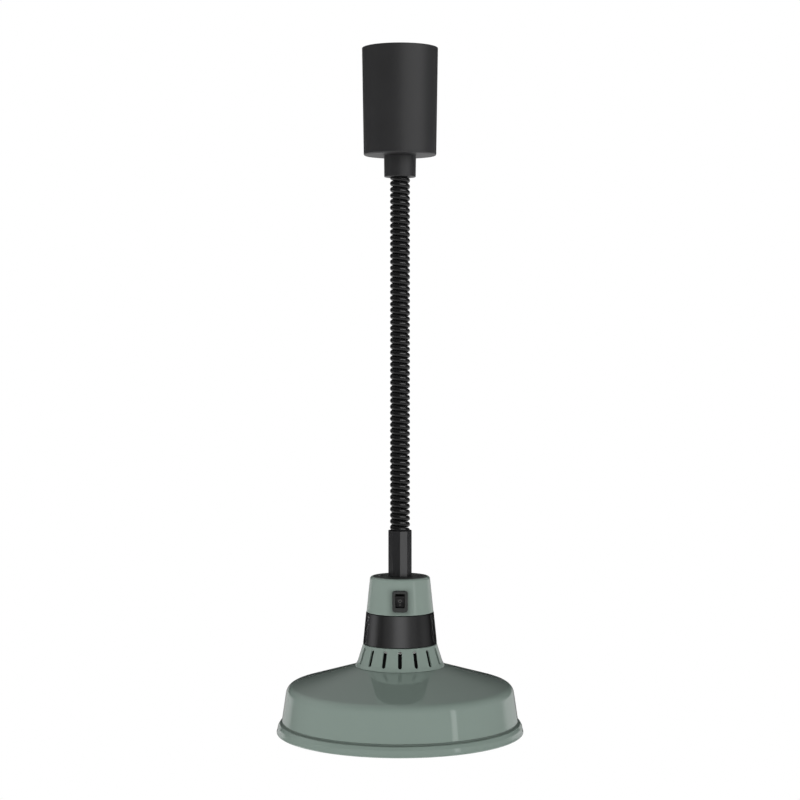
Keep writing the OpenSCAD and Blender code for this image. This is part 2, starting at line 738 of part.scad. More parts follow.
module hood_cap() {
    hole_r = stem_r + slip_gap;
    neck_low_z = band_z - neck_h;
    wall_in_r = hood_low_r - hood_wall - hood_slope * ledge_t;
    color(sage) difference() {
        union() {
            revolve(concat(
                rounded([[hole_r, hood_z, 0], [hood_top_r, hood_z, hood_fillet], [hood_low_r, band_z, 0.7],
                    [neck_r, band_z, 0], [neck_r, neck_low_z, 0.5], [neck_r - neck_wall, neck_low_z, 0.5],
                    [neck_r - neck_wall, band_z + ledge_t, 0], [wall_in_r, band_z + ledge_t, 0],
                    [hood_top_r - hood_wall, hood_in_z, 1.2], [hole_r, hood_in_z, 0]], 6)));
            at_bosses() translate([0, 0, band_z + ledge_t]) cylinder(r = boss_r, h = hood_in_z + 1 - band_z - ledge_t);
        }
        at_bosses() translate([0, 0, band_z]) cylinder(r = tie_r + pin_gap, h = ledge_t + tie_grip + 2);
        for (side = [-1, 1]) translate([side * top_screw_x, 0, hood_in_z - 1]) cylinder(r = 1.75, h = hood_wall + 2);
        at_switch() {
            translate([0, 0, bezel_back]) linear_extrude(8) polygon(round_rect(bezel_w + 0.2, bezel_h + 0.2, bezel_corner));
            translate([0, 0, -8]) linear_extrude(10) square([body_w + 0.2, body_h + 0.2], center = true);
        }
    }
}

module hood_screws() {
    color(zinc) for (side = [-1, 1]) translate([side * top_screw_x, 0, hood_z]) mirror([0, 0, 1])
        screw(1.75, hood_wall + strap_t + 2, 2.2, 1.3);
}

module lampholder_bracket() {
    inside = strap_half - strap_t;
    low_z = holder_top_z;
    color(zinc) difference() {
        translate([-strap_half, -strap_w / 2, low_z]) cube([2 * strap_half, strap_w, strap_top_z - low_z]);
        translate([-inside, -strap_w, low_z + strap_t]) cube([2 * inside, 2 * strap_w, strap_top_z - low_z - 2 * strap_t]);
        translate([0, 0, strap_top_z - strap_t - 1]) cylinder(r = stem_r + slip_gap, h = strap_t + 2);
        for (side = [-1, 1]) {
            translate([side * top_screw_x, 0, strap_top_z - strap_t - 1]) cylinder(r = 1.75, h = strap_t + 2);
            translate([side * holder_screw_x, 0, low_z - 1]) cylinder(r = 1.5, h = strap_t + 2);
        }
        translate([0, 0, low_z - 1]) cylinder(r = 5, h = strap_t + 2);
    }
}

module switch_body() {
    cavity_z = pivot_z - 5.5;
    color(black) at_switch() difference() {
        union() {
            translate([0, 0, bezel_back]) linear_extrude(bezel_front - bezel_back - 0.6)
                polygon(round_rect(bezel_w, bezel_h, bezel_corner));
            translate([0, 0, bezel_front - 0.7]) linear_extrude(0.7)
                polygon(round_rect(bezel_w - 1.2, bezel_h - 1.2, bezel_corner - 0.6));
            translate([0, 0, bezel_back - switch_depth]) linear_extrude(switch_depth + 0.5)
                square([body_w, body_h], center = true);
        }
        translate([0, window_y, cavity_z]) linear_extrude(bezel_front - cavity_z + 1)
            square([window_w, window_h], center = true);
        translate([0, window_y, pivot_z]) rotate([0, 90, 0])
            cylinder(r = pivot_r + run_gap, h = window_w + 2.4, center = true);
        for (side = [-1, 1]) translate([-blade_w / 2, side * terminal_y - blade_t / 2, bezel_back - switch_depth - 1])
            cube([blade_w, blade_t, 4]);
    }
}

module switch_terminals() {
    color(brass_tone) at_switch() for (side = [-1, 1])
        translate([-blade_w / 2, side * terminal_y - blade_t / 2, bezel_back - switch_depth - terminal_len])
            cube([blade_w, blade_t, terminal_len + 3]);
}

// Rocker tipped with its lower half in, as it lies when the lamp is off
module rocker() {
    half_w = window_w / 2 - 0.15;
    face = -pivot_z + 1.1;
    color(black) at_switch() translate([0, window_y, pivot_z]) rotate([rocker_throw / 2, 0, 0]) {
        rotate([0, -90, 0]) rotate([0, 0, 0]) translate([0, 0, -half_w]) linear_extrude(2 * half_w) polygon(rounded([
            [-1.6, -2, 0], [face - 2.4, -rocker_half, 0], [face, -rocker_half, 0.6], [face - 0.8, 0, 6],
            [face, rocker_half, 0.6], [face - 2.4, rocker_half, 0], [-1.6, 2, 0], [-1.6, -2, 0]], 4));
        rotate([0, 90, 0]) cylinder(r = pivot_r, h = window_w + 2.2, center = true);
    }
}

module band_sleeve() {
    top_bore_r = neck_r + slip_gap;
    low_bore_r = vent_neck_r + slip_gap;
    step_z = vent_z + vent_neck_h + 1;
    color("#2a2a2a") revolve(concat(
        rounded([[top_bore_r, band_z, 0], [band_top_r, band_z, 0.4], [band_low_r, vent_z, 0.4], [low_bore_r, vent_z, 0]], 3),
        [[low_bore_r, step_z], [top_bore_r, step_z]]));
}

module vent_slot() {
    mid_z = vent_z - slot_top_gap - slot_len * cos(atan(vent_slope)) / 2;
    straight = slot_len - slot_w;
    translate([0, -vent_r(mid_z), mid_z]) rotate([90 - atan(vent_slope), 0, 0]) {
        translate([-slot_w / 2, -straight / 2, -4]) cube([slot_w, straight, 8]);
        for (side = [-1, 1]) translate([0, side * straight / 2, -4]) cylinder(d = slot_w, h = 8);
    }
}

module vent_collar() {
    foot_top_z = shade_z + vent_flange_t;
    wall_low_r = vent_r(foot_top_z) - vent_wall * 1.04;
    color(sage) difference() {
        union() {
            revolve(concat(
                rounded([[vent_neck_r, vent_z + vent_neck_h, 0], [vent_neck_r, vent_z, 0], [vent_top_r, vent_z, 0.4],
                    [vent_low_r, shade_z + 4.1, 8], [vent_foot_r, shade_z + 0.6, 0], [vent_foot_r, shade_z, 0.2],
                    [shade_hole_r, shade_z, 0]], 5),
                [[shade_hole_r, foot_top_z], [wall_low_r, foot_top_z],
                 [vent_r(vent_z - vent_wall) - vent_wall * 1.04, vent_z - vent_wall],
                 [vent_neck_r - vent_wall, vent_z - vent_wall], [vent_neck_r - vent_wall, vent_z + vent_neck_h]]));
            at_bosses() translate([0, 0, vent_z + vent_neck_h - lug_t]) {
                cylinder(r = lug_r, h = lug_t);
                translate([0, -lug_r, 0]) cube([vent_neck_r - boss_ring_r - 1, 2 * lug_r, lug_t]);
            }
        }
        for (k = [0:slot_count - 1]) rotate(360 * k / slot_count) vent_slot();
        at_bosses() translate([0, 0, vent_z + vent_neck_h - lug_t - 1]) cylinder(r = tie_r + pin_gap, h = lug_t + 2);
        at_foot_screws() translate([0, 0, shade_z - 1]) cylinder(r = 1.75, h = vent_flange_t + 2);
    }
}

module tie_screws() {
    low_z = vent_z + vent_neck_h - lug_t;
    color(zinc) at_bosses() translate([0, 0, low_z])
        screw(tie_r + pin_gap, band_z + ledge_t + tie_grip - low_z, 3.5, 2.8);
}

// Outside of the shade from the hole in its middle to the lip
function shade_path() = let (ledge_z = mouth_z + lip_h) concat(
    rounded([[shade_hole_r, shade_z, 0], [shade_flange_r, shade_z, 1], [shoulder_r, shade_z - cone_fall, shoulder_fillet],
        [ledge_r, ledge_z, 0.4], [lip_r - 3.2, ledge_z - 0.5, 1.2], [lip_r - 1.15, mouth_z + 7.6, 2],
        [lip_r - 0.65, mouth_z + 3, 1.5], [lip_r, mouth_z + 0.9, 0.4], [lip_r, mouth_z, 0]], 7));

module shade() {
    color(sage) difference() {
        revolve(sheet_outline(shade_path(), shade_wall));
        at_foot_screws() translate([0, 0, shade_z - 3]) cylinder(r = 1.75, h = 4);
    }
}

module shade_screws() {
    color(zinc) at_foot_screws() translate([0, 0, shade_z - shade_wall])
        screw(1.75, shade_wall + vent_flange_t + 1.5, 3.2, 2.2);
}

module lampholder_body() {
    color("white") difference() {
        revolve(rounded([
            [0, holder_top_z, 0], [holder_r - 2, holder_top_z, 1.5], [holder_r - 2, holder_top_z - 12, 0.5],
            [holder_r, holder_top_z - 13, 0.5], [holder_r, holder_low_z, 1.5], [cavity_r, holder_low_z, 0.8],
            [cavity_r, cavity_top_z, 0.6], [0, cavity_top_z, 0]], 4));
        for (side = [-1, 1]) translate([side * holder_screw_x, 0, holder_top_z - 4]) cylinder(r = 1.5, h = 5);
    }
}

module holder_screws() {
    color(zinc) for (side = [-1, 1]) translate([side * holder_screw_x, 0, holder_top_z + strap_t])
        mirror([0, 0, 1]) screw(1.5, strap_t + 4, 2.6, 2);
}

module lampholder_shell() {
    color(brass_tone) ring(cavity_r - pin_gap, cavity_r - shell_t - pin_gap, cap_low_z + 1, contact_z - 2);
}

module lampholder_contact() {
    color(brass_tone) union() {
        translate([-5, -3, cavity_top_z - 0.8]) cube([10, 6, 0.8]);
        translate([0, 0, contact_z]) cylinder(r = 2.4, h = cavity_top_z - contact_z);
    }
}

// Screw cap with rounded thread ridges
module bulb_cap() {
    ridges = 5;
    step = 3.6;
    thread_top = contact_z - 4.5;
    low_r = cap_r - 1;
    ridge_path = [for (k = [0:ridges - 1], i = [0:5])
        let (t = i / 6) [low_r + (cap_r - low_r) * (1 - cos(360 * t)) / 2, thread_top - step * (k + t)]];
    color("silver") revolve(concat(
        [[0, contact_z], [4, contact_z], [4.6, contact_z - 1.2], [low_r - 2, contact_z - 3]], ridge_path,
        [[low_r, thread_top - step * ridges], [low_r, cap_low_z], [low_r - cap_wall, cap_low_z],
         [low_r - cap_wall, contact_z - 5], [0, contact_z - 5]]));
}

// Outside of the glass from the cap to the middle of its face
function glass_path() = let (
    r = bulb_r, top = cap_low_z + 3, face = bulb_face_z, neck = neck_glass_r - 0.95, height = top - face)
    rounded([[neck, top, 0], [neck + 0.6, top - 0.18 * height, 12], [r * 0.52, top - 0.36 * height, 20],
        [r, top - 0.66 * height, 14], [r, top - 0.78 * height, 7], [r * 0.72, face + 3.2, 10], [r * 0.3, face, 20], [0, face, 0]], 7);

module bulb_glass() {
    color([0.75, 0.2, 0.16]) revolve(concat(glass_path(), [[0, bulb_face_z + glass_t]],
        [for (i = [len(glass_path()) - 2:-1:0]) let (p = glass_path()[i])
            [max(0.4, p.x - glass_t), max(p.y, bulb_face_z + glass_t)]]));
}

// Place of a core in the stem's bore
function core_spot(k) = core_ring * [cos(-90 + 120 * k), sin(-90 + 120 * k)];
function core_start(k) = [cord_x + core_spot(k).x, core_spot(k).y, web_low_z - 3];
// Route of core k from below the cord's end, past the ferrule and down through the stem
function core_route(k) = let (s = core_spot(k)) [
    core_start(k) - [0, 0, 1.5], [cord_x + s.x, s.y, web_low_z - 8],
    [(cord_x + s.x) * 0.86 + s.x * 0.14, s.y, web_low_z - washer_t - ferrule_h - 1],
    [s.x, s.y, spigot_top_z - 2], [s.x, s.y, hood_z - 4], [s.x, s.y, hood_z - stem_drop]];
function blade_tip(side) = let (y = side * terminal_y, z = bezel_back - switch_depth - terminal_len, a = switch_lean)
    [0, -switch_wall_r + y * sin(a) - z * cos(a), switch_z + y * cos(a) + z * sin(a)];

module live_core() {
    tip = blade_tip(1);
    color("saddlebrown") wire(concat([core_start(0)], smooth(concat(core_route(0),
        [[0, core_spot(0).y - 1, hood_z - stem_drop - 3], [0, tip.y + 2.4, tip.z + 1.2], [0, tip.y + 0.6, tip.z]]), 3)),
        core_r, 6, [1, 0, 0]);
}

module neutral_core() {
    s = core_spot(1);
    foot = [2.6, 1.6, holder_top_z];
    color("royalblue") wire(concat([core_start(1)], smooth(concat(core_route(1),
        [[s.x + 1, s.y + 2, hood_z - stem_drop - 5], [4, 6, switch_z], [3, 3, holder_top_z + 7],
         foot + [0, 0, 1.5]]), 3), [foot]), core_r, 6, [0, 1, 0]);
}

module earth_core() {
    s = core_spot(2);
    lug = [strap_t - strap_half, 0, switch_z + 2];
    color("olivedrab") wire(concat([core_start(2)], smooth(concat(core_route(2),
        [[s.x - 2, s.y + 1, hood_z - stem_drop - 4], [-12, 2, switch_z + 5], [-18, 1, switch_z + 2],
         lug + [1.5, 0, 0]]), 3), [lug]), core_r, 6, [0, 1, 0]);
}

module switched_core() {
    tip = blade_tip(-1);
    foot = [-1.8, -1.4, holder_top_z];
    color("saddlebrown") wire(concat(smooth([[0, tip.y + 0.1, tip.z], [0, tip.y + 2.4, tip.z - 0.1],
        [0, -2.4, tip.z - 1.4], foot + [0, 0, 1.5]], 3), [foot]), core_r, 6, [1, 0, 0]);
}

ceiling_plate();
earth_screw();
canister_cover();
cover_screws();
retractor_frame();
frame_screws();
drum_axle();
axle_clips();
power_spring();
rope_drum();
drum_cover();
rope_winding();
rope_guide();
terminal_block();
terminal_screws();
cord_tail();
cord_clamp();
clamp_screws();
gland_collar();
gland_nut();
curly_cord();
suspension_rope();
pull_grip();
rope_ferrule();
anchor_washer();
cord_end();
grip_spigot();
stem_nut();
hood_cap();
hood_screws();
lampholder_bracket();
switch_body();
switch_terminals();
rocker();
band_sleeve();
vent_collar();
tie_screws();
shade();
shade_screws();
lampholder_body();
holder_screws();
lampholder_shell();
lampholder_contact();
bulb_cap();
bulb_glass();
live_core();
neutral_core();
earth_core();
switched_core();
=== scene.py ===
"""Looks of a pendant heat lamp that draws down from a sprung canister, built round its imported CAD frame.

Sizes are in millimetres in the classes below and become metres in the meshes. +Z is up, the ceiling is at zero,
and the rocker switch faces -Y.
"""

import logging
import math
from dataclasses import dataclass
from enum import Enum
from typing import Callable, Mapping, Sequence

import bmesh
import bpy
import numpy as np
from mathutils import Matrix, Vector


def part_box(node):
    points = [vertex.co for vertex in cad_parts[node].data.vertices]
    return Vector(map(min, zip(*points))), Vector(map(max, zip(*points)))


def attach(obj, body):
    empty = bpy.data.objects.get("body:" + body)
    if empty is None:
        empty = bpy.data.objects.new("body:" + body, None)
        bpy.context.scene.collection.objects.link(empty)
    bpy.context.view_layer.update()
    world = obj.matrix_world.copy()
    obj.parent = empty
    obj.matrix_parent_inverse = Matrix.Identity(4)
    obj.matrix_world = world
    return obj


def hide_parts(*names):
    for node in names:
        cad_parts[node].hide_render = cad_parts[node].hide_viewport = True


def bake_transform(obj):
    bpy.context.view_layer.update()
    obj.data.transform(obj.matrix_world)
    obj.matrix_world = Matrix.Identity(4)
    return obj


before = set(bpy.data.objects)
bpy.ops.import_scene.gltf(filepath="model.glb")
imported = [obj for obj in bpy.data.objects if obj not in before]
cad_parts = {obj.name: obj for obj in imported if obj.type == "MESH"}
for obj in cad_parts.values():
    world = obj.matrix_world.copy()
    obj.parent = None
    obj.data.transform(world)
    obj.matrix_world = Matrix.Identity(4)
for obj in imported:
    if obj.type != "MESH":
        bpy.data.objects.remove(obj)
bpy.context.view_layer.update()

MM = 0.001
PICTURE_PX = 800
DOUBLE_M = 2e-7
STUB_M = 1e-8
LOG = logging.getLogger("heat_lamp")

Corner = tuple[float, float, float]
Colour = tuple[float, float, float]
Place = tuple[float, float, float]
Piece = bpy.types.Object
Socket = bpy.types.NodeSocket
Sockets = Mapping[str, Socket]


# ---------------------------------------------------------------------------------------------------------------
# Lines and surfaces
# ---------------------------------------------------------------------------------------------------------------


def full_turn(steps: int) -> np.ndarray:
    """Angles round a full turn, the last one step short of the first."""
    return np.linspace(0, 2 * math.pi, steps, endpoint=False)


def rounded_line(corners: Sequence[Corner], closed: bool = False, steps: int = 5, support: float = 0.3) -> np.ndarray:
    """Line through corners, each turned by an arc of its own radius.

    The arc between legs a and b touches both at reach = radius / tan(half angle); its points come from turning the
    first touching point about the arc's centre. One more point on each leg keeps the shading of flats flat.

    Args:
        corners: (x, y, radius) of each corner; radius 0 leaves it sharp.
        closed: whether the last corner leads back to the first.
        steps: stretches in each arc.
        support: distance of the extra points from the arc.

    Returns:
        An array of points, one row each.
    """
    places = np.array([c[:2] for c in corners], float)
    count = len(places)
    line: list[np.ndarray] = []
    for i, (_, _, radius) in enumerate(corners):
        here = places[i]
        if not closed and i in (0, count - 1):
            line.append(here[None])
            continue
        to_last, to_next = places[i - 1] - here, places[(i + 1) % count] - here
        far_last, far_next = np.linalg.norm(to_last), np.linalg.norm(to_next)
        to_last, to_next = to_last / far_last, to_next / far_next
        half = math.acos(float(np.clip(to_last @ to_next, -1, 1))) / 2
        if radius <= 0 or half > math.radians(89.5):
            line.append(here[None])
            continue
        reach = min(radius / math.tan(half), 0.46 * far_last, 0.46 * far_next)
        middle = here + (to_last + to_next) / np.linalg.norm(to_last + to_next) * reach / math.cos(half)
        arm = here + to_last * reach - middle
        other = here + to_next * reach - middle
        turn = (math.pi - 2 * half) * np.sign(arm[0] * other[1] - arm[1] * other[0])
        t = np.linspace(0, turn, steps + 1)[:, None]
        arc = middle + arm * np.cos(t) + np.array([-arm[1], arm[0]]) * np.sin(t)
        spare = min(support, 0.3 * (far_last - reach), 0.3 * (far_next - reach))
        line.append(np.vstack([arc[:1] + to_last * spare, arc, arc[-1:] + to_next * spare]))
    return np.vstack(line)


def offset_line(line: np.ndarray, distance: float) -> np.ndarray:
    """Copy of an open line moved to its right-hand side.

    Args:
        line: points, one row each.
        distance: how far, along the mean of the two neighbouring normals.

    Returns:
        The moved points.
    """
    steps = np.diff(line, axis=0)
    steps /= np.linalg.norm(steps, axis=1)[:, None]
    ahead, behind = np.vstack([steps, steps[-1:]]), np.vstack([steps[:1], steps])
    mean = ahead + behind
    mean /= np.linalg.norm(mean, axis=1)[:, None]
    stretch = 1 / np.maximum(0.5, (mean * ahead).sum(1))
    return line + distance * np.stack([mean[:, 1], -mean[:, 0]], axis=1) * stretch[:, None]


def revolved(profile: np.ndarray, columns: int = 192) -> np.ndarray:
    """Surface of revolution: (radius, height) becomes (radius cos t, radius sin t, height) for t round the axis.

    Args:
        profile: (radius, height) points.
        columns: points round the axis.

    Returns:
        A grid of places, rows along the profile and columns round the axis.
    """
    t = full_turn(columns)
    radius, height = profile[:, :1], profile[:, 1:]
    return np.stack([radius * np.cos(t), radius * np.sin(t), np.broadcast_to(height, (len(profile), columns))],
                    axis=2)


def curve_through(points: np.ndarray, steps: int) -> np.ndarray:
    """Catmull-Rom curve: a cubic between each two points whose slope at a point is half the step across it.

    Args:
        points: places to pass through.
        steps: stretches between two of them.

    Returns:
        The curve's points.
    """
    p = np.vstack([points[:1], points, points[-1:]])
    a, b, c, d = (p[k : len(p) - 3 + k, None] for k in range(4))
    t = (np.arange(steps) / steps)[None, :, None]
    inside = 0.5 * (2 * b + (c - a) * t + (2 * a - 5 * b + 4 * c - d) * t**2 + (3 * b - a - 3 * c + d) * t**3)
    return np.vstack([inside.reshape(-1, points.shape[1]), points[-1:]])


def tube(path: np.ndarray, radius: np.ndarray | float, sides: int = 16,
         outward: np.ndarray | None = None) -> np.ndarray:
    """Tube round a path: each ring is centre + radius (cos t * side + sin t * up), square to the path's direction.

    Args:
        path: ring centres.
        radius: one radius, or one for each ring and side.
        sides: points in a ring.
        outward: a direction near each ring's side vector; by default one that never lies along the path.

    Returns:
        A grid of places, one row for each ring.
    """
    along = np.gradient(path, axis=0)
    along /= np.linalg.norm(along, axis=1)[:, None]
    if outward is None:
        outward = np.broadcast_to(np.array([0.31, 0.95, 0.05]), path.shape)
    side = outward - (outward * along).sum(1)[:, None] * along
    side /= np.linalg.norm(side, axis=1)[:, None]
    up = np.cross(along, side)
    t = full_turn(sides)
    reach = np.broadcast_to(np.asarray(radius, float).reshape(-1, 1) if np.ndim(radius) < 2 else radius,
                            (len(path), sides))
    ring = np.cos(t)[None, :, None] * side[:, None] + np.sin(t)[None, :, None] * up[:, None]
    return path[:, None] + reach[:, :, None] * ring


def at_height(outline: np.ndarray, height: float | np.ndarray) -> np.ndarray:
    """Outline of (x, y) points lifted to one height, or to a height for each point."""
    return np.column_stack([outline, np.broadcast_to(height, len(outline))])


def shift(x: float, y: float, z: float) -> Matrix:
    """Move by millimetres, as a matrix in metres."""
    return Matrix.Translation((x * MM, y * MM, z * MM))


def turned(degrees: float, axis: str) -> Matrix:
    """Turn about an axis of the frame."""
    return Matrix.Rotation(math.radians(degrees), 4, axis)


def rounded_rectangle(width: float, height: float, radius: float, corner_steps: int = 8,
                      side_steps: int = 6) -> np.ndarray:
    """Outline of a rectangle with quarter-circle corners, run anticlockwise from the right-hand side's foot.

    Args:
        width: overall width.
        height: overall height.
        radius: corner radius.
        corner_steps: stretches in a corner.
        side_steps: stretches in a side.

    Returns:
        Points of the closed outline, evenly spread on each side and corner, the same number for any size.
    """
    x, y = width / 2 - radius, height / 2 - radius
    turn = np.linspace(0, math.pi / 2, corner_steps + 1)
    runs: list[np.ndarray] = []
    for k, (cx, cy) in enumerate(((x, y), (-x, y), (-x, -y), (x, -y))):
        angle = turn + k * math.pi / 2
        arc = np.stack([cx + radius * np.cos(angle), cy + radius * np.sin(angle)], axis=1)
        nx, ny = ((-x, y), (-x, -y), (x, -y), (x, y))[k]
        start = np.array([nx + radius * math.cos(angle[-1]), ny + radius * math.sin(angle[-1])])
        t = (np.arange(1, side_steps) / side_steps)[:, None]
        runs += [arc, arc[-1] + (start - arc[-1]) * t]
    return np.vstack(runs)


# ---------------------------------------------------------------------------------------------------------------
# Meshes
# ---------------------------------------------------------------------------------------------------------------


class Ends(Enum):
    """How a grid's first and last rows are treated."""

    OPEN = "open"
    JOINED = "joined"
    CAPPED = "capped"


def grid_faces(rows: int, columns: int, ends: Ends, start: int = 0) -> list[list[int]]:
    """Quads between neighbouring points of a grid that is closed round its columns.

    Args:
        rows: number of rows.
        columns: number of columns.
        ends: whether the last row joins the first, or both get a flat cap.
        start: number of the grid's first point.

    Returns:
        Corner numbers of each face.
    """
    index = start + np.arange(rows * columns).reshape(rows, columns)
    caps = [index[0][::-1].tolist(), index[-1].tolist()] if ends is Ends.CAPPED else []
    if ends is Ends.JOINED:
        index = np.vstack([index, index[:1]])
    index = np.hstack([index, index[:, :1]])
    quads = np.stack([index[:-1, :-1], index[:-1, 1:], index[1:, 1:], index[1:, :-1]], axis=-1)
    return quads.reshape(-1, 4).tolist() + caps


def placed(name: str, data: bpy.types.ID) -> Piece:
    """Object that shows a mesh, a light or a camera, linked into the scene."""
    obj = bpy.data.objects.new(name, data)
    bpy.context.scene.collection.objects.link(obj)
    return obj


def new_piece(name: str, grids: Sequence[tuple[np.ndarray, Ends]], sharp_deg: float = 34,
              place: Matrix | None = None) -> Piece:
    """Piece made of grids, given in millimetres, with doubles merged and faces turned outwards.

    Args:
        name: the piece's name.
        grids: each grid of places and how its ends are treated.
        sharp_deg: edges that turn further than this stay sharp.
        place: where a piece drawn in a frame of its own goes.

    Returns:
        The finished object, at the origin.
    """
    points: list[np.ndarray] = []
    faces: list[list[int]] = []
    start = 0
    for grid, ends in grids:
        faces += grid_faces(grid.shape[0], grid.shape[1], ends, start)
        points.append(grid.reshape(-1, 3))
        start += grid.shape[0] * grid.shape[1]
    mesh = bpy.data.meshes.new(name)
    mesh.from_pydata((np.vstack(points) * MM).tolist(), [], faces)
    if place is not None:
        mesh.transform(place)
    tidy_mesh(mesh, sharp_deg)
    return placed(name, mesh)


def tidy_mesh(mesh: bpy.types.Mesh, sharp_deg: float) -> None:
    """Merges doubles, turns faces outwards, and shades smooth up to an angle.

    Args:
        mesh: the mesh to treat.
        sharp_deg: edges that turn further than this stay sharp.
    """
    work = bmesh.new()
    work.from_mesh(mesh)
    bmesh.ops.remove_doubles(work, verts=work.verts, dist=DOUBLE_M)
    bmesh.ops.dissolve_degenerate(work, edges=work.edges, dist=STUB_M)
    bmesh.ops.recalc_face_normals(work, faces=work.faces)
    work.to_mesh(mesh)
    work.free()
    mesh.shade_smooth()
    mesh.set_sharp_from_angle(angle=math.radians(sharp_deg))


def cut_away(piece: Piece, cutters: Sequence[Piece], sharp_deg: float = 34) -> None:
    """Takes closed cutters out of a piece and removes them.

    Args:
        piece: the piece to cut.
        cutters: closed objects.
        sharp_deg: edges that turn further than this stay sharp afterwards.
    """
    for cutter in cutters:
        step = piece.modifiers.new("cut", "BOOLEAN")
        step.operation, step.object, step.solver = "DIFFERENCE", cutter, "EXACT"
    bpy.context.view_layer.update()
    graph = bpy.context.evaluated_depsgraph_get()
    mesh = bpy.data.meshes.new_from_object(piece.evaluated_get(graph))
    piece.modifiers.clear()
    old, piece.data = piece.data, mesh
    bpy.data.meshes.remove(old)
    mesh.name = piece.name
    mesh.shade_smooth()
    mesh.set_sharp_from_angle(angle=math.radians(sharp_deg))
    for cutter in cutters:
        bpy.data.objects.remove(cutter)


def prism(name: str, outline: np.ndarray, low: float, high: float, place: Matrix | None = None) -> Piece:
    """Closed straight prism over an outline, as a cutter.

    Args:
        name: its name.
        outline: closed outline of (x, y) points.
        low: height of its foot.
        high: height of its top.
        place: where it goes.

    Returns:
        The prism.
    """
    return new_piece(name, [(np.stack([at_height(outline, low), at_height(outline, high)]), Ends.CAPPED)],
                     place=place)


# ---------------------------------------------------------------------------------------------------------------
# Shader node groups and finishes
# ---------------------------------------------------------------------------------------------------------------


class Nodes:
    """Adds nodes to a tree and links them by socket name."""

    def __init__(self, tree: bpy.types.NodeTree) -> None:
        """Keeps the tree that the nodes go into."""
        self.tree = tree

    def add(self, kind: str, settings: dict | None = None, **inputs: object) -> bpy.types.Node:
        """Adds a node.

        Args:
            kind: the node's type name.
            settings: properties of the node itself.
            inputs: values or output sockets for its inputs; an underscore stands for a space.

        Returns:
            The node.
        """
        node = self.tree.nodes.new(kind)
        for key, value in (settings or {}).items():
            setattr(node, key, value)
        for key, value in inputs.items():
            name = key.replace("_", " ")
            socket = node.inputs[int(name[1:])] if name[0] == "i" and name[1:].isdigit() else node.inputs[name]
            self.feed(socket, value)
        return node

    def feed(self, socket: Socket, value: object) -> None:
        """Links an output socket to an input, or sets the input's value."""
        if isinstance(value, Socket):
            self.tree.links.new(value, socket)
        elif hasattr(value, "__len__") and len(socket.default_value) == 4 and len(value) == 3:
            socket.default_value = (*value, 1.0)
        else:
            socket.default_value = value

    def maths(self, operation: str, a: object, b: object = 0.0, clamp: bool = False) -> Socket:
        """Result of a Math node on one or two values."""
        return self.add("ShaderNodeMath", {"operation": operation, "use_clamp": clamp}, i0=a, i1=b).outputs[0]

    def blend(self, share: object, a: object, b: object, way: str = "MIX") -> Socket:
        """Colour between a and b by a share."""
        node = self.add("ShaderNodeMix", {"data_type": "RGBA", "blend_type": way})
        for socket, value in ((node.inputs[0], share), (node.inputs[6], a), (node.inputs[7], b)):
            self.feed(socket, value)
        return node.outputs[2]

    def vector(self, operation: str, a: object, b: object = (0.0, 0.0, 0.0)) -> Socket:
        """Result of a Vector Math node: a number for LENGTH, else a vector."""
        node = self.add("ShaderNodeVectorMath", {"operation": operation}, i0=a, i1=b)
        return node.outputs["Value" if operation == "LENGTH" else "Vector"]

    def place(self) -> Socket:
        """The shaded point in its object's own coordinates, in metres."""
        return self.add("ShaderNodeTexCoord").outputs["Object"]

    def noise(self, place: object, scale: object, detail: float, roughness: float = 0.5) -> Socket:
        """Value of a Noise Texture from 0 to 1."""
        node = self.add("ShaderNodeTexNoise", Vector=place, Scale=scale, Detail=detail, Roughness=roughness)
        return node.outputs["Fac"]

    def fading(self, away: object, reach: object) -> Socket:
        """1 at no distance, falling evenly to 0 at the reach."""
        return self.maths("SUBTRACT", 1.0, self.maths("DIVIDE", away, reach), clamp=True)

    def ranged(self, value: object, low: float, high: float, to_low: object = 0.0, to_high: object = 1.0) -> Socket:
        """Value mapped smoothly from one range to another."""
        node = self.add("ShaderNodeMapRange", {"interpolation_type": "SMOOTHSTEP"}, i0=value, i1=low, i2=high,
                        i3=to_low, i4=to_high)
        return node.outputs[0]


@dataclass(frozen=True)
class Effect:
    """A shader node group that materials share: inputs with their defaults, outputs, and what fills it.

    A default of one number makes a float socket, one of three a vector and one of four a colour. The filling function
    takes the group's nodes and its given sockets, and returns the socket of each output.
    """

    name: str
    inputs: dict[str, object]
    outputs: tuple[str, ...]
    fill: Callable[[Nodes, Sockets], tuple[Socket, ...]]

    def tree(self) -> bpy.types.NodeTree:
        """The group's node tree, made the first time that it is asked for."""
        known = bpy.data.node_groups.get(self.name)
        if known:
            return known
        tree = bpy.data.node_groups.new(self.name, "ShaderNodeTree")
        for label, default in self.inputs.items():
            size = len(default) if isinstance(default, tuple) else 1
            kind = {1: "NodeSocketFloat", 3: "NodeSocketVector", 4: "NodeSocketColor"}[size]
            tree.interface.new_socket(label, in_out="INPUT", socket_type=kind).default_value = default
        for label in self.outputs:
            kind = "NodeSocketColor" if label == "Colour" else "NodeSocketFloat"
            tree.interface.new_socket(label, in_out="OUTPUT", socket_type=kind)
        nodes = Nodes(tree)
        given, made = nodes.add("NodeGroupInput"), nodes.add("NodeGroupOutput")
        for label, result in zip(self.outputs, self.fill(nodes, given.outputs)):
            nodes.feed(made.inputs[label], result)
        return tree

    def use(self, nodes: Nodes, **inputs: object) -> Sockets:
        """Places the group among a material's nodes and returns its outputs."""
        return nodes.add("ShaderNodeGroup", {"node_tree": self.tree()}, **inputs).outputs


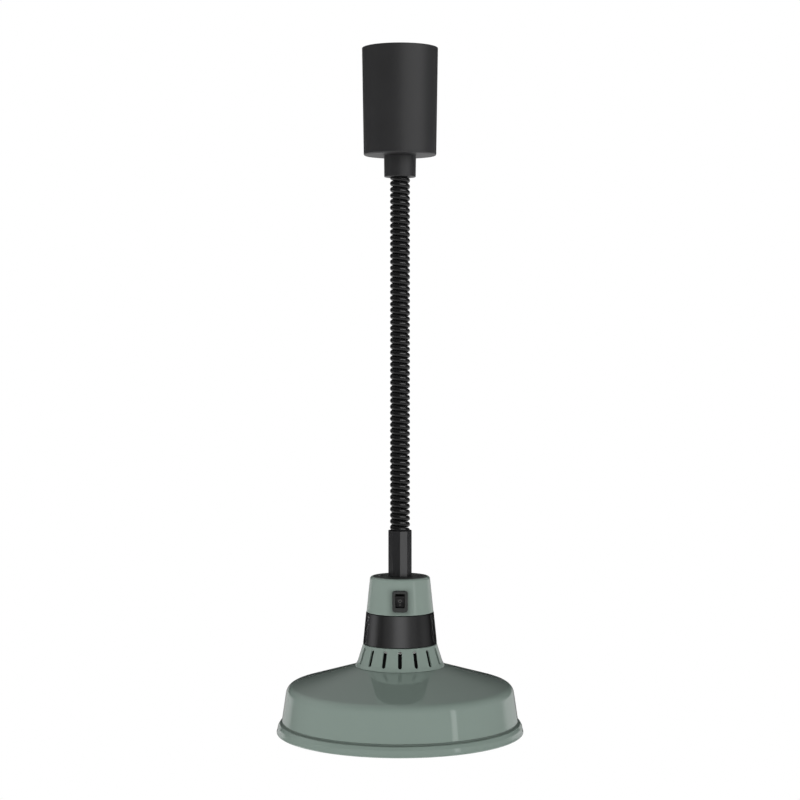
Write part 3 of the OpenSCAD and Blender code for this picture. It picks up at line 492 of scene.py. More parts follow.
def fill_tone(nodes: Nodes, given: Sockets) -> tuple[Socket, ...]:
    """Lets a colour and its roughness wander in soft patches, with settled dust on faces that look up."""
    place = nodes.place()
    broad = nodes.noise(place, given["Patch"], 3.0, 0.55)
    fine = nodes.noise(place, nodes.maths("MULTIPLY", given["Patch"], 21.0), 2.0)
    wander = nodes.maths("SUBTRACT", broad, 0.5)
    gain = nodes.maths("ADD", nodes.maths("MULTIPLY", nodes.maths("MULTIPLY", wander, 2.6), given["Drift"]), 1.0)
    grey = nodes.add("ShaderNodeCombineColor", i0=gain, i1=gain, i2=gain).outputs[0]
    tinted = nodes.blend(1.0, given["Colour"], grey, "MULTIPLY")
    upward = nodes.add("ShaderNodeSeparateXYZ", i0=nodes.add("ShaderNodeNewGeometry").outputs["Normal"]).outputs["Z"]
    lying = nodes.maths("MULTIPLY", nodes.ranged(upward, 0.25, 0.95), nodes.ranged(fine, 0.42, 0.7))
    cover = nodes.maths("MULTIPLY", lying, given["Dust"])
    rough = nodes.maths("ADD", given["Roughness"], nodes.maths("MULTIPLY", wander, given["Haze"]))
    rough = nodes.maths("ADD", rough, nodes.maths("MULTIPLY", cover, 0.3), clamp=True)
    return nodes.blend(cover, tinted, DUST_COLOUR), rough


def fill_relief(nodes: Nodes, given: Sockets) -> tuple[Socket, ...]:
    """Height from fine grains over slow waves, as powder coats, castings and moulded skins have."""
    drawn = nodes.vector("MULTIPLY", nodes.place(), given["Stretch"])
    grain = nodes.noise(drawn, given["Grain Scale"], 2.0, 0.6)
    wave = nodes.noise(drawn, given["Wave Scale"], 1.0, 0.4)
    fine, slow = nodes.maths("MULTIPLY", grain, given["Grain"]), nodes.maths("MULTIPLY", wave, given["Wave"])
    return (nodes.maths("ADD", fine, slow),)


def fill_rubbed_and_lit(nodes: Nodes, given: Sockets) -> tuple[Socket, ...]:
    """Lightens a colour in a broken line at one height: wear where a rim is handled and knocked, and a painted
    highlight along the rim.
    """
    place = nodes.place()
    height = nodes.add("ShaderNodeSeparateXYZ", i0=place).outputs["Z"]
    away = nodes.maths("ABSOLUTE", nodes.maths("SUBTRACT", height, given["Height"]))
    near = nodes.fading(away, given["Width"])
    chips = nodes.ranged(nodes.noise(place, 420.0, 4.0, 0.7), 0.5, 0.68)
    mask = nodes.maths("MULTIPLY", nodes.maths("MULTIPLY", near, chips), given["Wear"])
    return (nodes.blend(mask, given["Colour"], given["Under Colour"]),)


def fill_painted_shadow(nodes: Nodes, given: Sockets) -> tuple[Socket, ...]:
    """Paints a soft shadow round a fitting: darkens a colour where the fitting's shade falls on the surface beside
    it.

    The distance is that of the point from the fitting's box; the dark falls off over the reach.
    """
    apart = nodes.vector("ABSOLUTE", nodes.vector("SUBTRACT", nodes.place(), given["Middle"]))
    outside = nodes.vector("MAXIMUM", nodes.vector("SUBTRACT", apart, given["Half Size"]))
    away = nodes.vector("LENGTH", outside)
    near = nodes.fading(away, given["Reach"])
    share = nodes.maths("MULTIPLY", nodes.maths("POWER", near, 1.6), given["Depth"])
    return (nodes.blend(share, given["Colour"], PAINTED_SHADOW_COLOUR),)


DUST_COLOUR = (0.42, 0.40, 0.37)
# Colour of the painted shadow round a fitting.
PAINTED_SHADOW_COLOUR = (0.01, 0.012, 0.011)
GREY = (0.5, 0.5, 0.5, 1.0)
TONE = Effect("tone_and_dust", {"Colour": GREY, "Drift": 0.06, "Patch": 30.0, "Roughness": 0.4, "Haze": 0.05,
                                "Dust": 0.0},
              ("Colour", "Roughness"), fill_tone)
RELIEF = Effect("grain_and_waves", {"Grain Scale": 1500.0, "Grain": 0.5, "Wave Scale": 200.0, "Wave": 0.5,
                                    "Stretch": (1.0, 1.0, 1.0)}, ("Height",), fill_relief)
# Node group for the broken lighter line at a rim: wear and a painted highlight.
RUBBED_AND_LIT = Effect("rubbed_rim", {"Colour": GREY, "Under Colour": GREY, "Height": 0.0, "Width": 0.0012, "Wear": 0.3},
                ("Colour",), fill_rubbed_and_lit)
# Node group that paints a soft shadow round a fitting.
PAINTED_SHADOW = Effect("smudge_round_fitting", {"Colour": GREY, "Middle": (0.0, 0.0, 0.0), "Half Size": (0.0, 0.0, 0.0),
                                          "Reach": 0.006, "Depth": 0.3}, ("Colour",), fill_painted_shadow)


@dataclass(frozen=True)
class PaintedShadow:
    """Where a finish gets a painted shadow round a fitting, in metres."""

    middle: tuple[float, float, float]
    half_size: tuple[float, float, float]
    reach: float = 0.0078
    depth: float = 0.5


@dataclass(frozen=True)
class Finish:
    """A surface finish: colour, gloss, relief, wear, painted shadow and painted highlight, as written into one
    Principled material.
    """

    name: str
    colour: Colour
    roughness: float = 0.45
    haze: float = 0.06
    drift: float = 0.05
    patch: float = 30.0
    dust: float = 0.0
    metallic: float = 0.0
    specular: float = 0.5
    coat: float = 0.0
    coat_roughness: float = 0.1
    coat_ior: float = 1.5
    grain: float = 0.5
    grain_scale: float = 1500.0
    wave: float = 0.0
    wave_scale: float = 160.0
    stretch: tuple[float, float, float] = (1.0, 1.0, 1.0)
    depth: float = 0.00002
    rim_height: float | None = None
    rim_width: float = 0.0012
    rim_wear_and_highlight: float = 0.0
    rim_colour: Colour = (0.55, 0.56, 0.55)
    transmission: float = 0.0
    ior: float = 1.5
    edge_tint: float = 1.0
    painted_shadow: PaintedShadow | None = None

    def material(self) -> bpy.types.Material:
        """The finish's material, made the first time that it is asked for."""
        known = bpy.data.materials.get(self.name)
        if known:
            return known
        mat = bpy.data.materials.new(self.name)
        mat.use_nodes = True
        nodes = Nodes(mat.node_tree)
        shader = mat.node_tree.nodes["Principled BSDF"]
        tone = TONE.use(nodes, Colour=self.colour, Drift=self.drift, Patch=self.patch, Roughness=self.roughness,
                        Haze=self.haze, Dust=self.dust)
        colour = tone["Colour"]
        # Painted shadow: darkens the colour round a fitting.
        if self.painted_shadow is not None:
            box = self.painted_shadow
            colour = PAINTED_SHADOW.use(nodes, Colour=colour, Middle=box.middle, Half_Size=box.half_size, Reach=box.reach,
                                 Depth=box.depth)["Colour"]
        # Broken lighter line at a rim: wear, with a painted highlight.
        if self.rim_height is not None:
            colour = RUBBED_AND_LIT.use(nodes, Colour=colour, Under_Colour=self.rim_colour, Height=self.rim_height,
                                Width=self.rim_width, Wear=self.rim_wear_and_highlight)["Colour"]
        relief = RELIEF.use(nodes, Grain_Scale=self.grain_scale, Grain=self.grain, Wave_Scale=self.wave_scale,
                            Wave=self.wave, Stretch=self.stretch)
        bump = nodes.add("ShaderNodeBump", Strength=1.0, Distance=self.depth, Height=relief["Height"])
        nodes.feed(shader.inputs["Base Color"], colour)
        nodes.feed(shader.inputs["Roughness"], tone["Roughness"])
        nodes.feed(shader.inputs["Normal"], bump.outputs["Normal"])
        plain = {"Metallic": self.metallic, "Specular IOR Level": self.specular, "Coat Weight": self.coat,
                 "Coat Roughness": self.coat_roughness, "Coat IOR": self.coat_ior,
                 "Transmission Weight": self.transmission, "IOR": self.ior}
        for label, value in plain.items():
            shader.inputs[label].default_value = value
        shader.inputs["Specular Tint"].default_value = (self.edge_tint, self.edge_tint, self.edge_tint, 1.0)
        mat.diffuse_color = (*self.colour, 1.0)
        return mat


class Paint:
    """The lamp's paints and mouldings."""

    MATT_BLACK = Finish("matt_black_powder_coat", (0.016, 0.016, 0.017), 0.44, 0.08, 0.12, 24, dust=0.05, grain=1.0,
                        grain_scale=2600, wave=0.35, wave_scale=700, depth=0.00004)
    COLLAR_BLACK = Finish("satin_black_powder_coat", (0.015, 0.015, 0.016), 0.42, 0.08, 0.12, 30, grain=1.0,
                          grain_scale=2800, wave=0.3, wave_scale=800, depth=0.00003)
    GRIP_BLACK = Finish("black_anodised_grip", (0.015, 0.015, 0.016), 0.3, 0.1, 0.1, 26, dust=0.04, grain=0.7,
                        grain_scale=900, stretch=(1, 1, 0.08), depth=0.000012)
    BAND_BLACK = Finish("satin_black_band", (0.06, 0.06, 0.061), 0.36, 0.08, 0.1, 26, grain_scale=2400, wave=0.3,
                        wave_scale=600, metallic=1.0, edge_tint=0.05)
    SAGE_SHADE = Finish("sage_enamel_shade", (0.205, 0.262, 0.231), 0.4, 0.05, 0.03, 16, grain=0.1, grain_scale=1400,
                        wave=1.0, wave_scale=60, specular=0.2, coat=1.0, coat_roughness=0.02, coat_ior=2.0,
                        rim_height=-0.6822, rim_width=0.0009, rim_wear_and_highlight=0.2)
    # The darkening round the switch is a painted shadow; the broken lighter line at its lower rim is wear with a
    # painted highlight.
    SAGE_HOOD = Finish("sage_enamel_hood", (0.20, 0.252, 0.223), 0.4, 0.06, 0.03, 24, grain=0.1, grain_scale=1500,
                       wave=1.0, wave_scale=80, specular=0.2, coat=0.8, coat_roughness=0.06, coat_ior=1.8,
                       rim_height=-0.5631, rim_width=0.0006, rim_wear_and_highlight=0.2,
                       painted_shadow=PaintedShadow((0, -0.032, -0.5505), (0.0070, 0.01, 0.0095), depth=0.4))
    # Darker sage for the groove above the shade's lip: painted shade in the crease.
    SAGE_CREASE_SHADE = Finish("sage_enamel_crease", (0.10, 0.13, 0.112), 0.6, 0.06, 0.1, 60, grain=1.0, grain_scale=900,
                         specular=0.2)
    # Dark colour for the hood's flat top round the grip: painted shade on the face that looks up.
    TOP_PAINTED_SHADE = Finish("black_top_seat", (0.025, 0.03, 0.027), 0.4, 0.08, 0.1, 60, dust=0.06, grain=1.0,
                       grain_scale=2400, depth=0.00003)
    # Near-black for the vent collar's inside and the baffle behind its slots: painted shade inside the collar.
    PAINTED_SHADE_INSIDE = Finish("heat_darkened_inside", (0.003, 0.003, 0.003), 0.7, 0.1, 0.15, 60, grain=1.0, grain_scale=1700,
                    depth=0.00003, specular=0.1)
    SWITCH_BLACK = Finish("moulded_black_bezel", (0.033, 0.036, 0.034), 0.5, 0.06, 0.05, 60, grain=1.0,
                          grain_scale=4200)
    # Darker, glossier black for the bezel's sides and window walls: polished, with painted shade in its colour.
    EDGE_PAINTED_SHADE = Finish("polished_black_edge", (0.006, 0.007, 0.007), 0.3, 0.06, 0.05, 60, grain_scale=4200,
                        depth=0.00001)
    ROCKER_BLACK = Finish("moulded_black_rocker", (0.011, 0.011, 0.011), 0.45, 0.05, 0.05, 60, grain=0.6,
                          grain_scale=3800, depth=0.00001, specular=0.3)
    MARK_WHITE = Finish("printed_mark", (0.16, 0.16, 0.155), 0.5, 0.04, 0.05, 60, grain_scale=3000, depth=0.00001)
    IVORY = Finish("moulded_ivory", (0.80, 0.77, 0.68), 0.42, 0.05, 0.05, 40, grain=0.6, grain_scale=1600)
    PORCELAIN = Finish("glazed_porcelain", (0.82, 0.81, 0.77), 0.16, 0.05, 0.03, 40, grain=0.1, grain_scale=900,
                       wave=1.0, wave_scale=220, depth=0.00003, coat=1.0, coat_ior=2.0)


class Metal:
    """The lamp's bare metals."""

    INSIDE = Finish("spun_aluminium_inside", (0.78, 0.79, 0.8), 0.34, 0.08, 0.06, 22, metallic=1.0, grain=1.0,
                    grain_scale=500, stretch=(0.25, 0.25, 8.0), depth=0.00001)
    ZINC = Finish("zinc_plated_steel", (0.62, 0.63, 0.64), 0.38, 0.14, 0.12, 60, metallic=1.0, grain=1.0,
                  grain_scale=900, depth=0.000012)
    SCREW = Finish("bright_zinc_screw", (0.7, 0.71, 0.72), 0.26, 0.12, 0.1, 90, metallic=1.0, grain=1.0,
                   grain_scale=1300, depth=0.00001)
    ROPE = Finish("drawn_steel_strand", (0.52, 0.52, 0.52), 0.36, 0.1, 0.12, 120, metallic=1.0, grain=1.0,
                  grain_scale=2600, depth=0.000008)
    SPRING = Finish("blued_spring_steel", (0.2, 0.24, 0.32), 0.3, 0.1, 0.14, 60, metallic=1.0, grain=0.6,
                    grain_scale=1200, stretch=(1, 6, 1), depth=0.000008)
    BRASS = Finish("bright_brass", (0.72, 0.5, 0.2), 0.28, 0.12, 0.1, 60, metallic=1.0, grain=0.8, grain_scale=1100,
                   depth=0.00001)
    CAP = Finish("pressed_aluminium_cap", (0.74, 0.74, 0.74), 0.3, 0.1, 0.1, 60, metallic=1.0, grain=0.8,
                 grain_scale=1100, depth=0.00001)
    SILVERED = Finish("silvered_glass", (0.86, 0.86, 0.86), 0.07, 0.03, 0.03, 40, metallic=1.0, grain=0.0, wave=1.0,
                      wave_scale=80, coat=0.5, coat_roughness=0.03)


class Cable:
    """Sheaths, insulation and stained glass."""

    SHEATH = Finish("black_cord_sheath", (0.005, 0.005, 0.0053), 0.22, 0.08, 0.1, 60, dust=0.02, grain_scale=1900,
                    wave=0.5, wave_scale=420, depth=0.000012, specular=0.35)
    BROWN = Finish("brown_insulation", (0.16, 0.06, 0.025), 0.4, 0.05, 0.06, 60, grain=0.8, grain_scale=1800,
                   depth=0.00001)
    BLUE = Finish("blue_insulation", (0.02, 0.08, 0.36), 0.4, 0.05, 0.06, 60, grain=0.8, grain_scale=1800,
                  depth=0.00001)
    GREEN = Finish("green_insulation", (0.12, 0.38, 0.03), 0.4, 0.05, 0.06, 60, grain=0.8, grain_scale=1800,
                   depth=0.00001)
    RUBY = Finish("ruby_stained_glass", (0.42, 0.018, 0.012), 0.09, 0.03, 0.06, 26, grain=0.0, wave=1.0,
                  wave_scale=70, depth=0.00003, coat=0.7, coat_roughness=0.03)


def dress(obj: Piece, finish: Finish) -> Piece:
    """Gives every face of a piece one finish.

    Args:
        obj: the piece or CAD node.
        finish: its finish.

    Returns:
        The same object.
    """
    obj.data.materials.clear()
    obj.data.materials.append(finish.material())
    return obj


def settle(obj: Piece, body: str, slot: str, *stands_for: str) -> Piece:
    """Lets a piece ride on a body and says which CAD nodes it stands for.

    Args:
        obj: the piece.
        body: CAD body it moves with.
        slot: not used.
        stands_for: CAD nodes that it replaces.

    Returns:
        The same object.
    """
    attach(obj, body)
    if stands_for:
        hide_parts(*stands_for)
    LOG.info("%s rides on %s and stands for %s", obj.name, body, ", ".join(stands_for) or "itself")
    return obj


def dress_part(obj: Piece, finish: Finish, where: Callable[[np.ndarray, np.ndarray], np.ndarray]) -> None:
    """Gives some faces of a dressed piece another finish.

    Args:
        obj: the piece, already dressed.
        finish: the other finish.
        where: rule from the faces' middles in millimetres and their normals to a mask.
    """
    obj.data.materials.append(finish.material())
    faces = obj.data.polygons
    middles, normals = np.empty(len(faces) * 3, np.float32), np.empty(len(faces) * 3, np.float32)
    slots = np.empty(len(faces), np.int32)
    faces.foreach_get("center", middles)
    faces.foreach_get("normal", normals)
    faces.foreach_get("material_index", slots)
    chosen = where(middles.reshape(-1, 3) / MM, normals.reshape(-1, 3))
    faces.foreach_set("material_index", np.where(chosen, len(obj.data.materials) - 1, slots).astype(np.int32))


def outwardness(middles: np.ndarray, normals: np.ndarray) -> np.ndarray:
    """How far each face looks away from the lamp's axis, from -1 to 1."""
    return (middles[:, :2] * normals[:, :2]).sum(1) / np.maximum(1e-6, np.linalg.norm(middles[:, :2], axis=1))


def radii(middles: np.ndarray) -> np.ndarray:
    """Distance of each face's middle from the lamp's axis."""
    return np.hypot(middles[:, 0], middles[:, 1])


def lathed(name: str, profile: np.ndarray, columns: int = 192, ends: Ends = Ends.JOINED) -> Piece:
    """Piece of revolution from a (radius, height) profile, closed on itself or run from axis to axis."""
    return new_piece(name, [(revolved(profile, columns), ends)])


# ---------------------------------------------------------------------------------------------------------------
# Camera, light and floor
# ---------------------------------------------------------------------------------------------------------------


@dataclass(frozen=True)
class Window:
    """A soft bright area of the room: where it is seen from the lamp, how wide it is, and how bright."""

    azimuth: float
    elevation: float
    half_width: float
    half_height: float
    level: float


@dataclass(frozen=True)
class Softbox:
    """An upright rectangle of even light at one side of the lamp, which lights the pieces that it names alone.

    Its power gives the surface its level: level times pi times its area, in watts.
    """

    name: str
    lights: tuple[str, ...]
    azimuth: float
    width: float
    low: float
    high: float
    level: float
    distance: float = 2.5

    def hang(self) -> None:
        """Makes the light, turned to the lamp's axis, and links it to its pieces."""
        data = bpy.data.lights.new(self.name, "AREA")
        data.shape, data.size, data.size_y = "RECTANGLE", self.width, self.high - self.low
        data.energy = self.level * math.pi * self.width * (self.high - self.low)
        obj = placed(self.name, data)
        turn = math.radians(self.azimuth)
        obj.location = (self.distance * math.sin(turn), -self.distance * math.cos(turn), (self.low + self.high) / 2)
        obj.rotation_euler = (math.pi / 2, 0, turn)
        obj.visible_camera = obj.visible_transmission = False
        lit = bpy.data.collections.new(f"{self.name}_lights")
        for label in self.lights:
            lit.objects.link(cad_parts.get(label) or bpy.data.objects[label])
        obj.light_linking.receiver_collection = lit
        LOG.info("%s lights %s", self.name, ", ".join(self.lights))


SOFTBOXES = (
    Softbox("high_softbox", ("canister_shell", "collar_shell"), 43, 4.0, -0.2, 1.9, 1.2),
    Softbox("cord_softbox", ("curly_cord_sheath",), 40, 3.6, 0.5, 1.9, 5.6),
    Softbox("low_softbox", ("grip_shell",), 36, 1.6, -1.2, 0.2, 1.8),
    Softbox("front_softbox", ("band_shell", "lampholder_body"), 2, 1.8, -1.2, 1.0, 1.2),
    Softbox("broad_softbox", ("band_shell", "lampholder_body"), 0, 7.0, -1.2, 1.2, 0.5),
    Softbox("left_softbox", ("band_shell",), -100, 1.6, -1.2, 1.2, 1.5),
    Softbox("right_softbox", ("band_shell",), 86, 1.8, -1.2, 1.2, 0.5),
)


@dataclass
class Studio:
    """A level camera in front of the lamp, a soft room with bright windows and a pale floor far below."""

    camera_distance: float = 1.889
    camera_height: float = -0.2876
    lens: float = 85.0
    horizon_px: float = 335.8
    floor_height: float = -1.76
    floor_radius: float = 3.4
    floor_clear_radius: float = 0.8
    floor_white_share: float = 0.62
    low_level: float = 2.32
    high_level: float = 0.33
    low_deg: float = 6.0
    high_deg: float = 34.0
    dim_level: float = 0.005
    windows: tuple[Window, ...] = (
        Window(92, -20, 26, 11, 0.8),
        Window(-98, -20, 18, 10, 1.8),
        Window(54, 8, 3, 14, 0.7),
        Window(144, -4, 22, 7, 0.47),
        Window(-151, -4, 18, 7, 0.47),
        Window(-140, 60, 60, 42, 0.19),
        Window(180, -22, 80, 9, 1.1),
        Window(0, -70, 180, 45, 0.8),
    )

    def camera(self) -> None:
        """Places the camera level at the horizon's height, and shifts its frame down to the lamp."""
        data = bpy.data.cameras.new("camera")
        data.lens, data.sensor_width = self.lens, 36.0
        data.shift_y = -(PICTURE_PX / 2 - self.horizon_px) / PICTURE_PX
        data.clip_start, data.clip_end = 0.05, 60
        obj = placed("camera", data)
        obj.location = (0, -self.camera_distance, self.camera_height)
        obj.rotation_euler = (math.pi / 2, 0, 0)
        bpy.context.scene.camera = obj

    def window_mask(self, nodes: Nodes, turn: Socket, rise: Socket, window: Window) -> Socket:
        """Brightness of one window for a direction.

        It falls off smoothly over a third of the half width and half height, measured in degrees from its middle;
        the azimuth difference is folded into -180 to 180 degrees first.

        Args:
            nodes: where the nodes go.
            turn: the direction's azimuth in degrees, 0 at the camera and 90 to its right.
            rise: the direction's elevation in degrees.
            window: the window.

        Returns:
            The brightness.
        """
        away = nodes.maths("SUBTRACT", turn, window.azimuth)
        wrapped = nodes.add("ShaderNodeMath", {"operation": "WRAP"}, i0=away, i1=180.0, i2=-180.0)
        away = nodes.maths("ABSOLUTE", wrapped.outputs[0])
        across = nodes.ranged(away, window.half_width * 1.25, window.half_width * 0.6)
        above = nodes.maths("ABSOLUTE", nodes.maths("SUBTRACT", rise, window.elevation))
        along = nodes.ranged(above, window.half_height * 1.25, window.half_height * 0.7)
        return nodes.maths("MULTIPLY", nodes.maths("MULTIPLY", across, along), window.level)

    def room(self) -> None:
        """Room that lights the lamp from low down, with windows for mirror rays and a white ground for the camera."""
        world = bpy.data.worlds.new("room")
        bpy.context.scene.world = world
        world.use_nodes = True
        nodes = Nodes(world.node_tree)
        world.node_tree.nodes.clear()
        way = nodes.add("ShaderNodeSeparateXYZ", i0=nodes.add("ShaderNodeTexCoord").outputs["Generated"]).outputs
        degree = 180 / math.pi
        rise = nodes.maths("MULTIPLY", nodes.maths("ARCSINE", way["Z"]), degree)
        turn = nodes.maths("ARCTAN2", way["X"], nodes.maths("MULTIPLY", way["Y"], -1.0))
        turn = nodes.maths("MULTIPLY", turn, degree)
        lit = nodes.ranged(rise, self.low_deg, self.high_deg, self.low_level, self.high_level)
        mirrored: object = self.dim_level
        for window in self.windows:
            mirrored = nodes.maths("MAXIMUM", mirrored, self.window_mask(nodes, turn, rise, window))
        path = nodes.add("ShaderNodeLightPath")
        glossy = path.outputs["Is Glossy Ray"]
        strength = nodes.add("ShaderNodeMix", {"data_type": "FLOAT"}, i0=glossy, i2=lit, i3=mirrored).outputs[0]
        clear = nodes.maths("MAXIMUM", path.outputs["Is Camera Ray"], path.outputs["Is Transmission Ray"])
        strength = nodes.add("ShaderNodeMix", {"data_type": "FLOAT"}, i0=clear, i2=strength, i3=1.0).outputs[0]
        background = nodes.add("ShaderNodeBackground", Color=(1, 1, 1), Strength=strength)
        nodes.add("ShaderNodeOutputWorld", Surface=background.outputs[0])

    def floor(self) -> None:
        """Pale round floor that keeps the lamp's shadow and turns into the white ground towards its edge."""
        t = full_turn(96)
        rim = np.stack([self.floor_radius * np.cos(t), self.floor_radius * np.sin(t),
                        np.full(len(t), self.floor_height)], axis=1)
        mesh = bpy.data.meshes.new("floor")
        mesh.from_pydata(rim.tolist(), [], [list(range(len(t)))])
        obj = placed("floor", mesh)
        mat = bpy.data.materials.new("pale_floor")
        mat.use_nodes = True
        nodes = Nodes(mat.node_tree)
        mat.node_tree.nodes.clear()
        away = nodes.vector("LENGTH", nodes.vector("MULTIPLY", nodes.place(), (1, 1, 0)))
        path = nodes.add("ShaderNodeLightPath")
        some = nodes.maths("MAXIMUM", path.outputs["Is Camera Ray"], path.outputs["Is Glossy Ray"])
        seen = nodes.maths("MAXIMUM", some, path.outputs["Is Transmission Ray"])
        white_share = nodes.ranged(away, self.floor_clear_radius, self.floor_radius * 0.97, self.floor_white_share)
        share = nodes.maths("MULTIPLY", white_share, seen)
        matt = nodes.add("ShaderNodeBsdfDiffuse", Color=(0.92, 0.92, 0.92))
        white = nodes.add("ShaderNodeEmission", Color=(1, 1, 1), Strength=1.0)
        mixed = nodes.add("ShaderNodeMixShader", i0=share, i1=matt.outputs[0], i2=white.outputs[0])
        nodes.add("ShaderNodeOutputMaterial", Surface=mixed.outputs[0])
        mesh.materials.append(mat)

    def build(self) -> None:
        """Makes the camera, the room and the floor."""
        self.camera()
        self.room()
        self.floor()
        bpy.context.scene.view_settings.view_transform = "Standard"


# ---------------------------------------------------------------------------------------------------------------
# Cords
# ---------------------------------------------------------------------------------------------------------------


def points_of(piece: Piece) -> np.ndarray:
    """A piece's points in millimetres, one row each."""
    points = np.empty(len(piece.data.vertices) * 3, np.float32)
    piece.data.vertices.foreach_get("co", points)
    return points.reshape(-1, 3) / MM


def strand_share(turn: np.ndarray, strands: int = 6) -> np.ndarray:
    """Share of a rope's radius at an angle round its lay: whole on a strand's crest, 0.8 between two strands."""
    return 0.8 + 0.2 * np.sqrt(np.abs(np.sin(strands / 2 * turn)))


@dataclass
class CurlyCord:
    """The left-handed curly cord between the gland collar and the pull grip."""

    wire_d: float = 5.7
    curl_r: float = 7.18
    pitch: float = 6.03
    curls: int = 60
    top: float = -123.34
    bend_r: float = 5.0
    rings_per_curl: int = 32
    sides: int = 18

    def route(self) -> tuple[np.ndarray, np.ndarray]:
        """Ring centres and outward directions.

        The helix runs round a cylinder at angle 180 + 360 u degrees and height top - pitch u for u turns. Each end
        leaves it on an arc of bend_r, drawn on the unrolled cylinder, and then runs one diameter straight up or down.

        Returns:
            Ring centres, and the direction away from the axis at each.
        """
        lead = math.atan(self.pitch / (2 * math.pi * self.curl_r))
        turn = math.pi / 2 - lead
        reach = self.bend_r * math.tan(turn / 2)
        t = np.linspace(0, turn, 10)[:-1]
        straight = np.linspace(0, 1, 5)[:-1]
        round_run = np.concatenate([0 * straight, self.bend_r * (1 - np.cos(t))])
        drop = np.concatenate([self.top + reach + self.wire_d * (1 - straight),
                               self.top + reach - self.bend_r * np.sin(t)])
        first = reach * math.cos(lead) / (2 * math.pi * self.curl_r)
        u = np.linspace(first, self.curls - first, int(self.curls * self.rings_per_curl) + 1)
        low = self.top - self.curls * self.pitch
        bent = round_run / self.curl_r
        run = np.concatenate([bent, 2 * math.pi * u, 2 * math.pi * self.curls - bent[::-1]])
        height = np.concatenate([drop, self.top - self.pitch * u, low + self.top - drop[::-1]])
        angle = math.pi + run
        out = np.stack([np.cos(angle), np.sin(angle), 0 * angle], axis=1)
        path = self.curl_r * out
        path[:, 2] = height
        return path, out

    def build(self) -> Piece:
        path, out = self.route()
        grid = tube(path, self.wire_d / 2, self.sides, out)
        cord = dress(new_piece("curly_cord_sheath", [(grid, Ends.CAPPED)], sharp_deg=60), Cable.SHEATH)
        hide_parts("curly_cord")
        top, low = path[:, 2].max() - self.wire_d, path[:, 2].min() + self.wire_d
        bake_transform(cord)
        self.even_stretch(cord, path, top, low)
        return cord

    def even_stretch(self, cord: Piece, path: np.ndarray, top: float, low: float) -> None:
        """Works out each ring's share of the stretch and looks it up for every point of the sheath; the shares are
        not kept.

        Args:
            path: ring centres.
            top: height above which the share is 0.
            low: height below which the share is 1.
        """
        shares = np.clip((top - path[:, 2]) / (top - low), 0, 1)
        shares[self.nearest_ring(points_of(cord), path)]

    def nearest_ring(self, points: np.ndarray, path: np.ndarray) -> np.ndarray:
        """Number of the ring centre nearest to each point, searched in slices to keep the tables small."""
        found = [np.argmin(((part[:, None] - path[None]) ** 2).sum(2), axis=1)
                 for part in np.array_split(points, max(1, len(points) // 500))]
        return np.concatenate(found)


@dataclass
class SteelRope:
    """The steel rope that carries the head, seven strands laid round each other."""

    radius: float = 0.8
    strands: int = 6
    lay: float = 11.0
    top: float = -42.0
    sides: int = 36

    def build(self) -> Piece:
        """Makes the rope from drum to ferrule: a round whose radius dips between the strands that wind down it."""
        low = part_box("suspension_rope")[0][2] / MM
        heights = np.arange(self.top, low, -0.6)
        heights = np.append(heights, low)
        t = full_turn(self.sides)
        wind = 2 * math.pi * (heights - self.top)[:, None] / self.lay
        reach = self.radius * strand_share(t[None] - wind, self.strands)
        grid = np.stack([reach * np.cos(t), reach * np.sin(t), np.broadcast_to(heights[:, None], reach.shape)],
                        axis=2)
        rope = dress(new_piece("steel_rope", [(grid, Ends.CAPPED)], sharp_deg=70), Metal.ROPE)
        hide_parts("suspension_rope")
        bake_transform(rope)
        np.clip((self.top - points_of(rope)[:, 2]) / (self.top - low), 0, 1)
        return rope


